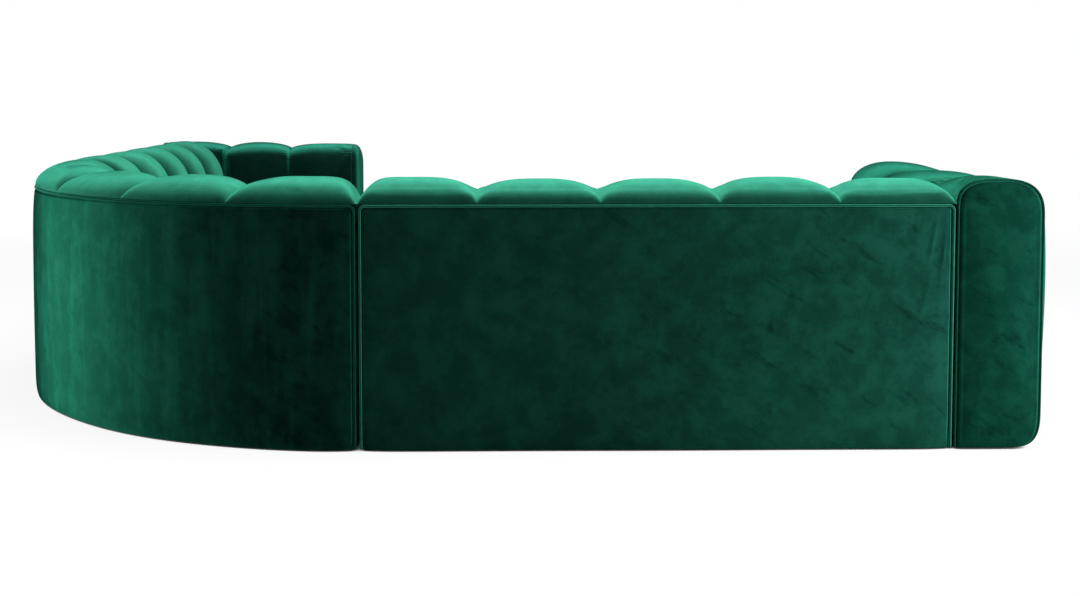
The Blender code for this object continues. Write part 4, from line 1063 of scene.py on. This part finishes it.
# %% Arm front pads
FRONT_FACE = 0.910
FRONT_ROUND_SHARE = 0.75          # how deep the front's round is, as a share of its width
FRONT_PAD_INSET = 0.0050
FRONT_PAD_LIFT = 0.35
FRONT_PAD_CROWN = 0.006
FRONT_SEAM = ((0.010, 0.0003), (0.0068, 0.0008), (0.0058, 0.002))  # inset and depth of the rows in the seam
bend = np.linspace(0, math.pi / 2, 15)
seam_inset, seam_depth = np.transpose(FRONT_SEAM)
front_inset = np.append(seam_inset, FRONT_PAD_INSET + ARM_FRONT_ROUND * (1 - np.cos(bend)))
front_depth = np.append(ARM_FRONT + seam_depth,
                        FRONT_FACE - ARM_FRONT_ROUND * (1 - np.sin(bend)) * FRONT_ROUND_SHARE)
front_outline = arm_outline(front_inset, FRONT_PAD_LIFT, FRONT_ARCH, overhang=ARM_OVERHANG, padding=1.0)
add_pair("arm_front_pad", domed_end(front_outline, front_depth, FRONT_PAD_CROWN), velvet_arms,
         "arm_front_panel")

# %% Arm cords
ARM_CORD_RADIUS = 0.8 * CORD_RADIUS
ARM_CORD_INSET = 0.0028
ARM_CORD_DEPTH = 0.0065
ARM_CORD_SIDE = 0.001             # nearer the outer side than the pad is
FLOOR_POINTS = 7                  # of the outline, which have no cord
LEAST_STEP = 1e-4                 # points that are closer are left out
cord_station, cord_height = arm_outline(ARM_CORD_INSET, 1.0, BACK_ARCH, side=BACK_PAD_SIDE - ARM_CORD_SIDE)
cord_path = straight_room(cord_station[0, :-FLOOR_POINTS], ARM_CORD_DEPTH, cord_height[0, :-FLOOR_POINTS])
cord_path = cord_path[np.append(True, np.linalg.norm(np.diff(cord_path, axis=0), axis=1) > LEAST_STEP)]
add_pair("arm_back_cord", tube(cord_path, np.tile([0.0, 1.0, 0.0], (len(cord_path), 1)), ARM_CORD_RADIUS),
         velvet_edge, "arm_back_piping")

# %% [markdown]
# ## Seats
#
# Each seat is a firm box cushion: a crowned top, sides that draw in between the corners, and a sewn seam
# under the rounded top edge. The top and the bottom are the same grid of a rounded rectangle, joined by a
# band. A square corner of the grid becomes a quarter disc when each square ring of it is bent into an arc.

# %% Seat plan
SEAT_ROUND = 0.055
EDGE_STEPS = np.array([0, 0.002, 0.006, 0.012, 0.020, 0.030, 0.042]) / SEAT_ROUND
SEAT_DRAW = 0.006                 # how far the sides draw in between the corners


def line_with_ends(cells):
    """Middle part from -1 to 1 and end part from -1 to 1 of a line of points, fine towards both ends."""
    ends = 1 - EDGE_STEPS
    zero = np.zeros(cells + 1)
    middle = np.concatenate([-np.ones(len(ends)), np.linspace(-1, 1, cells + 1), np.ones(len(ends))])
    return middle, np.concatenate([-ends, zero, ends[::-1]])


def seat_plan(cells):
    """Rounded rectangle: middle parts, bent end parts and distance to the outline, for a grid of points."""
    (mid_x, end_x), (mid_y, end_y) = line_with_ends(cells[0]), line_with_ends(cells[1])
    a, b = np.broadcast_arrays(end_x[:, None], end_y[None])
    big = np.maximum(np.abs(a), np.abs(b))
    small = np.minimum(np.abs(a), np.abs(b)) / np.maximum(big, TINY)
    turn = math.pi / 4 * small
    turn = np.where(np.abs(a) >= np.abs(b), turn, math.pi / 2 - turn)
    m, n = np.broadcast_arrays(mid_x[:, None], mid_y[None])
    return m, n, np.sign(a) * big * np.cos(turn), np.sign(b) * big * np.sin(turn), SEAT_ROUND * (1 - big)


def rim(grid):
    """The border of a grid, once round."""
    return np.concatenate([grid[0, :-1], grid[:-1, -1], grid[-1, :0:-1], grid[:0:-1, 0]])


print("seat plan ready")

# %% Seats
EDGE_ROUND = 0.030
SEAM_DROP = 0.010                 # seam under the rounded edge
SEAM_GROOVE = 0.0035
BOTTOM_ROUND = 0.4 * EDGE_ROUND
TOP_ROW = (0.004, 0.0003)         # drop below the rounded edge, and out
BAND_SWELL = 0.004
SEAT_CELLS = (74, 26)             # of the grid between the corners, along and deep
CORNER_CELLS = (60, 26)
BAND_SHARES = (0.12, 0.25, 0.4, 0.55, 0.7, 0.85, 0.95)  # rows of the band below the seam
GROOVE_ROWS = (                   # above and below the seam, and out, in shares of the groove and plain
    (0.004, 0, 0.0002), (0.0015, -0.6, 0), (0, -1, 0), (-0.0015, -0.6, 0), (-0.004, 0, 0.0002))


def seat(room, start, end, stretch, cells):
    """Box cushion: crowned top grid, band of rows with the seam's groove, bottom grid.

    The crown is the root of one minus a fourth power, each way; the edge is a quarter circle.
    """
    m, n, a, b, inside = seat_plan(cells)
    half = (DEPTH - SEAT_BACK) / 2

    def place(height, out):
        """Points at a height, pushed out square to the outline."""
        draw = SEAT_DRAW * (1 - inside / SEAT_ROUND)
        y = n * (half - SEAT_ROUND) + (SEAT_ROUND + out) * b - np.sign(b) * draw * (1 - m ** 2)
        depth = SEAT_BACK + half + y
        wide = stretch(depth)
        x = (end - start) / 2 * m + wide * (SEAT_ROUND * (a - m) + out * a - np.sign(a) * draw * (1 - n ** 2))
        return room((start + end) / 2 + x, depth, height)

    lip = np.clip(1 - inside / EDGE_ROUND, 0, 1)
    crown = SEAT_CROWN * (1 - m ** 4) ** 0.5 * (1 - n ** 4) ** 0.5
    rounding = 1 - np.sqrt(1 - lip ** 2)
    top = place(SEAT_HEIGHT + crown - EDGE_ROUND * rounding, 0.0)
    bottom = place(SEAT_BOTTOM + BOTTOM_ROUND * rounding, 0.0)
    high, low = SEAT_HEIGHT - EDGE_ROUND, SEAT_BOTTOM + BOTTOM_ROUND
    seam = high - SEAM_DROP
    rows = [(high - TOP_ROW[0], TOP_ROW[1])]
    rows += [(seam + up, share * SEAM_GROOVE + out) for up, share, out in GROOVE_ROWS]
    rows += [(seam + (low - seam) * share, BAND_SWELL * math.sin(math.pi * share)) for share in BAND_SHARES]
    band = [rim(place(np.full(m.shape, height), out)) for height, out in rows]
    index = np.arange(m.size).reshape(m.shape)
    around = np.arange(len(band[0]))
    loops = [rim(index), *[2 * m.size + row * len(around) + around for row in range(len(band))],
             m.size + rim(index)]
    walls = [np.stack([near, np.roll(near, -1), np.roll(far, -1), far], -1)
             for near, far in zip(loops, loops[1:])]
    points = np.concatenate([top.reshape(-1, 3), bottom.reshape(-1, 3), *band])
    faces = sheet_quads(*m.shape)
    return points, [faces, faces[:, ::-1] + m.size, *[wall[:, ::-1] for wall in walls]]


def straight_stretch(depth):
    """A straight run is as long at every depth."""
    return np.ones_like(depth)


def corner_stretch(depth):
    """Round the corner, a length along the outside back shrinks with the radius."""
    return OUTER_RADIUS / (OUTER_RADIUS - depth)


add_pair("seat", seat(straight_room, SOFT_GAP, RUN - ARM_OVERHANG - PAD_GAP, straight_stretch, SEAT_CELLS),
         velvet_rolls, "seat_cushion")
add_piece("corner_seat", seat(corner_room, SOFT_GAP, CORNER_RUN - SOFT_GAP, corner_stretch, CORNER_CELLS),
          velvet_rolls, "corner", ["corner_seat_cushion"])

# %% [markdown]
# ## Front borders
#
# Under each seat a padded strip closes the base. It could be a bevelled board, but that would look flat and
# would have to be bent for the corner. So it is a loft along the run of one rounded section, slightly swollen
# between its hems.

# %% Front borders
BORDER_REACH = 0.0062             # up to the round of the arm's front
CORNER_GAP = SOFT_GAP * OUTER_RADIUS / (OUTER_RADIUS - DEPTH)
BORDER_FACE = 0.004               # behind the seat's front
BORDER_SWELL = 0.003
BORDER_ROUND = (0.010, 0.004)     # how far the face dives at the hems, and how fast
BORDER_END = 0.006                # the same at its ends
BORDER_BACK = 0.0006              # in front of the frame
BORDER_RUN = RUN - ARM_OVERHANG + BORDER_REACH
BORDER_STEPS, CORNER_STEPS = 90, 60


def front_border(room, start, end, steps):
    """Section: flat back, face that swells by a sine, both edges rounded; ends dive in like a sewn edge."""
    along = np.linspace(start, end, steps)[:, None]
    rise = 0.5 * (1 - np.cos(np.linspace(0, math.pi, 33)))[None]
    height = FLOOR_GAP + rise * (BASE_TOP - FLOOR_GAP)
    edge = np.minimum(height - FLOOR_GAP, BASE_TOP - height)
    inside = np.minimum(along - start, end - along)
    face = DEPTH - BORDER_FACE + BORDER_SWELL * np.sin(math.pi * rise)
    face = face - BORDER_ROUND[0] * np.exp(-edge / BORDER_ROUND[1])
    face = face - BORDER_END * np.exp(-inside / BORDER_END)
    back = room(along, ARM_FRONT + BORDER_BACK, np.array([[BASE_TOP, FLOOR_GAP]]))
    return loft(np.concatenate([room(along, face, height), back], 1))


add_pair("seat_border", front_border(straight_room, SOFT_GAP, BORDER_RUN, BORDER_STEPS), velvet_panels,
         "front_border")
add_piece("corner_seat_border", front_border(corner_room, CORNER_GAP, CORNER_RUN - CORNER_GAP, CORNER_STEPS),
          velvet_panels, "corner", ["corner_front_border"])

# %% [markdown]
# ## Seam linings
#
# Where two modules meet, each is closed by an L-shaped board in thin padding and velvet, with a hem sewn a
# thumb's width from its edge and a slot for the steel connector. An L with a hole is no loft. So a grid
# covers the whole board, the cells on it are kept, and walls close the edges. The distance to the nearest
# edge then gives the swell, the rounded rim and the hem.

# %% Grid of a lining
SEAM_FACE = 0.005                 # from the plane between two modules
LINING_THICKNESS = 0.006
LINING_RIM = 0.0026
LINING_LINES = 26                 # grid lines from one break to the next


def lining_lines(*breaks):
    """Grid lines from break to break, closest beside the breaks: one minus the cosine of an even turn."""
    shares = 0.5 * (1 - np.cos(np.linspace(0, math.pi, LINING_LINES)))[:-1]
    spans = [low + (high - low) * shares for low, high in zip(breaks, breaks[1:])]
    return np.concatenate([*spans, breaks[-1:]])


def inside_box(depth, height, depths, heights):
    """How far a point lies inside a box, less than nothing outside it."""
    return np.minimum(np.minimum(depth - depths[0], depths[1] - depth),
                      np.minimum(height - heights[0], heights[1] - height))


def edge_walls(index, kept):
    """Quads from front to back on each grid edge that has a kept cell on one side only."""
    cells = np.pad(kept, 1)
    walls = []
    for before, after, start, end in ((cells[:-1, 1:-1], cells[1:, 1:-1], index[:, :-1], index[:, 1:]),
                                      (cells[1:-1, 1:], cells[1:-1, :-1], index[:-1], index[1:])):
        for rim_edges, first, last in ((before & ~after, start, end), (after & ~before, end, start)):
            first, last = first[rim_edges], last[rim_edges]
            walls.append(np.stack([first, last, last + index.size, first + index.size], -1))
    return walls


print(f"{LINING_LINES} lines from break to break")

# %% Seam linings
LINING_SWELL = (0.0014, 0.03)     # height, and how fast it builds up from the edge
RIM_REACH = 0.0018
HEM_INSET = 0.012
HEM_DIP = 0.0013
HEM_WIDTH = 0.0018
BACK_STEP = 0.0003                # the upright of the L ends this far short of the base frame's back
TOP_STEP = 0.0006                 # and this far under the top of the back frame
FLAP_WIDTH = 0.060
FLAP_THICKNESS = 0.0016
FLAP_HEIGHT = 0.2012              # between the rail and the seat
FLAP_POWER = 5
BASE_BOTTOM = 0.0136
CONNECTOR_HEIGHT = 0.105
SLOT_DEPTHS = (0.5447, 0.6053)
TONGUE_SLOT = 0.0023              # half the slot's height, on an end module
JAW_SLOT = 0.0119                 # and on the corner


def lining_flap(room, side):
    """The lining turned over the end rail under the seat: a flat superellipse carried along the depth."""
    turn = np.linspace(0, 2 * math.pi, 24, endpoint=False)[None]
    wide, tall = [np.sign(wave) * np.abs(wave) ** (2 / FLAP_POWER) for wave in (np.cos(turn), np.sin(turn))]
    along = SEAM_FACE + LINING_RIM + FLAP_WIDTH / 2 * (1 + wide)
    depth = np.linspace(BASE_BACK, ARM_FRONT, 60)[:, None]
    return loft(room(side * along, depth, FLAP_HEIGHT + FLAP_THICKNESS / 2 * tall))


def seam_lining(room, side, slot_half):
    """Board seen along the seam: a flat back, and a front moved out by swell, rim and hem.

    Swell and rim are exponentials of the distance to the nearest edge, the hem a bell curve of it.
    """
    slot = (CONNECTOR_HEIGHT - slot_half, CONNECTOR_HEIGHT + slot_half)
    depths = lining_lines(FRAME_BACK, BASE_BACK - BACK_STEP, *SLOT_DEPTHS, ARM_FRONT)
    heights = lining_lines(BASE_BOTTOM, *slot, BASE_TOP, BACK_FRAME_TOP - TOP_STEP)

    def to_edge(depth, height):
        """The larger of the depths inside the base and the back, up to the slot."""
        base = inside_box(depth, height, (FRAME_BACK, ARM_FRONT), (BASE_BOTTOM, BASE_TOP))
        back = inside_box(depth, height, depths[[0, LINING_LINES - 1]], heights[[0, -1]])
        return np.minimum(np.maximum(base, back), -inside_box(depth, height, SLOT_DEPTHS, slot))

    depth, height = np.meshgrid(depths, heights, indexing="ij")
    edge = np.maximum(to_edge(depth, height), 0)
    out = (LINING_SWELL[0] * (1 - np.exp(-edge / LINING_SWELL[1])) - LINING_RIM * np.exp(-edge / RIM_REACH)
           - HEM_DIP * np.exp(-((edge - HEM_INSET) / HEM_WIDTH) ** 2))
    front = room(side * (SEAM_FACE - out), depth, height)
    rear = room(np.full_like(depth, side * (SEAM_FACE + LINING_THICKNESS)), depth, height)
    kept = to_edge((depth[1:, 1:] + depth[:-1, :-1]) / 2, (height[1:, 1:] + height[:-1, :-1]) / 2) > 0
    index = np.arange(depth.size).reshape(depth.shape)
    faces = sheet_quads(*depth.shape)[kept.ravel()]
    quads = np.concatenate([faces, faces[:, ::-1] + depth.size, *edge_walls(index, kept)])
    used, quads = np.unique(quads, return_inverse=True)
    flap, blocks = lining_flap(room, side)
    points = np.concatenate([front.reshape(-1, 3), rear.reshape(-1, 3)])[used]
    return np.concatenate([points, flap]), [quads.reshape(-1, 4), *[block + len(points) for block in blocks]]


# The seam linings take the ends velvet, which is painted darker as shade.
add_pair("seam_lining", seam_lining(straight_room, 1, TONGUE_SLOT), velvet_ends, "seam_panel")
for side, room in (("straight", straight_room), ("wing", wing_room)):
    add_piece(f"corner_{side}_seam_lining", seam_lining(room, -1, JAW_SLOT), velvet_ends, "corner",
              [f"corner_{side}_seam_panel"])

# %% [markdown]
# ## What the velvet hides
#
# Frames, webbing, steel connectors, dust covers and glides keep their CAD shapes, since these are already
# what the real pieces are: sawn timber, straps, bent plate and turned plastic. They only need their finishes.
# Timber, weave and worn surface are node groups, because several pieces can share them with other values.

# %% Timber
def timber_group():
    """Sawn softwood: rings about a far-off heart, drawn out along the grain, with fine fibres."""
    tree, enter, leave = node_group("sawn_timber", [("Early", "Color", WHITE), ("Late", "Color", BLACK),
                                                    ("Rings", "Float", 60.0)])
    place = object_place(tree)
    drawn_out = stretched(tree, place, (0.06, 1.0, 1.0))
    rings = node(tree, "TexWave", {"Vector": drawn_out, "Scale": enter["Rings"], "Distortion": 3.5,
                                   "Detail": 3.0, "Detail Scale": 0.7},
                 wave_type="RINGS", rings_direction="X").outputs["Fac"]
    fibre = noise(tree, stretched(tree, place, (0.05, 1.0, 1.0)), 420.0, 3.0, 0.6)
    grain = weighted(tree, rings, 0.7, fibre, 0.4)
    put_out(tree, leave, Colour=blend_colour(tree, grain, enter["Early"], enter["Late"]),
            Roughness=spread(tree, fibre, 0.2, 0.8, 0.55, 0.78), Height=grain)
    return tree


timber = timber_group()
print(f"timber of {len(timber.nodes)} nodes")

# %% Weave
def weave_group():
    """Plain weave: two sets of threads, each the crest of a sine, one over the other in turn."""
    tree, enter, leave = node_group("plain_weave", [("Thread", "Color", WHITE), ("Gap", "Color", BLACK),
                                                    ("Threads", "Float", 2000.0)])
    place = object_place(tree)
    axes = node(tree, "SeparateXYZ", {0: place}).outputs
    warp, weft = [arithmetic(tree, "SINE", arithmetic(tree, "MULTIPLY", way, enter["Threads"]))
                  for way in (arithmetic(tree, "ADD", axes["X"], axes["Z"]),
                              arithmetic(tree, "SUBTRACT", axes["Y"], axes["Z"]))]
    height = spread(tree, arithmetic(tree, "MULTIPLY", warp, weft), -1.0, 1.0)
    fuzz = noise(tree, place, 90.0, 4.0, 0.6)
    tint = arithmetic(tree, "MULTIPLY", height, spread(tree, fuzz, 0.2, 0.8, 0.6, 1.0))
    put_out(tree, leave, Colour=blend_colour(tree, tint, enter["Gap"], enter["Thread"]),
            Roughness=spread(tree, fuzz, 0.2, 0.8, 0.82, 0.95), Height=height)
    return tree


weave = weave_group()
print(f"weave of {len(weave.nodes)} nodes")

# %% Worn surface
def worn_group():
    """Plain hard surface with a fine grain, cloudy dulling and thin scuffs."""
    tree, enter, leave = node_group("worn_surface", [("Clean", "Color", WHITE), ("Dull", "Color", BLACK),
                                                     ("Grain", "Float", 800.0), ("Shine", "Float", 0.3)])
    place = object_place(tree)
    cloud = noise(tree, place, 28.0, 5.0, 0.6, 0.5)
    grain = noise(tree, stretched(tree, place, (0.08, 1.0, 1.0)), enter["Grain"], 2.0)
    dulled = weighted(tree, spread(tree, cloud, 0.4, 0.7), 0.7, grain, 0.3)
    put_out(tree, leave, Colour=blend_colour(tree, dulled, enter["Clean"], enter["Dull"]),
            Roughness=arithmetic(tree, "MULTIPLY_ADD", dulled, 0.22, enter["Shine"]), Height=grain)
    return tree


worn = worn_group()
print(f"worn surface of {len(worn.nodes)} nodes")

# %% Finishes of the frame
finishes = {
    "frame": finish("sawn_pine", timber, {"Early": (0.60, 0.42, 0.24), "Late": (0.40, 0.24, 0.11),
                                          "Rings": 34.0}, bump=0.3),
    "webbing": finish("elastic_webbing", weave, {"Thread": (0.060, 0.058, 0.055),
                                                 "Gap": (0.012, 0.012, 0.012), "Threads": 2200.0}, bump=0.5),
    "dust_cover": finish("bottom_cloth", weave, {"Thread": (0.030, 0.030, 0.032),
                                                 "Gap": (0.008, 0.008, 0.009), "Threads": 5200.0}, bump=0.3),
    "connector": finish("zinc_steel", worn, {"Clean": (0.62, 0.63, 0.64), "Dull": (0.42, 0.43, 0.44),
                                             "Grain": 900.0, "Shine": 0.24},
                        bump=0.15, plain={"Metallic": 1.0}),
    "glide": finish("black_plastic", worn, {"Clean": (0.016, 0.016, 0.017), "Dull": (0.035, 0.035, 0.036),
                                            "Grain": 1600.0, "Shine": 0.38}, bump=0.2),
}
dressed = 0
for name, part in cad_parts.items():
    chosen = [material for word, material in finishes.items() if word in name]
    if chosen and not part.hide_render:
        for place in part.material_slots:
            place.material = chosen[0]
        dressed += 1
print(f"{dressed} CAD pieces finished")
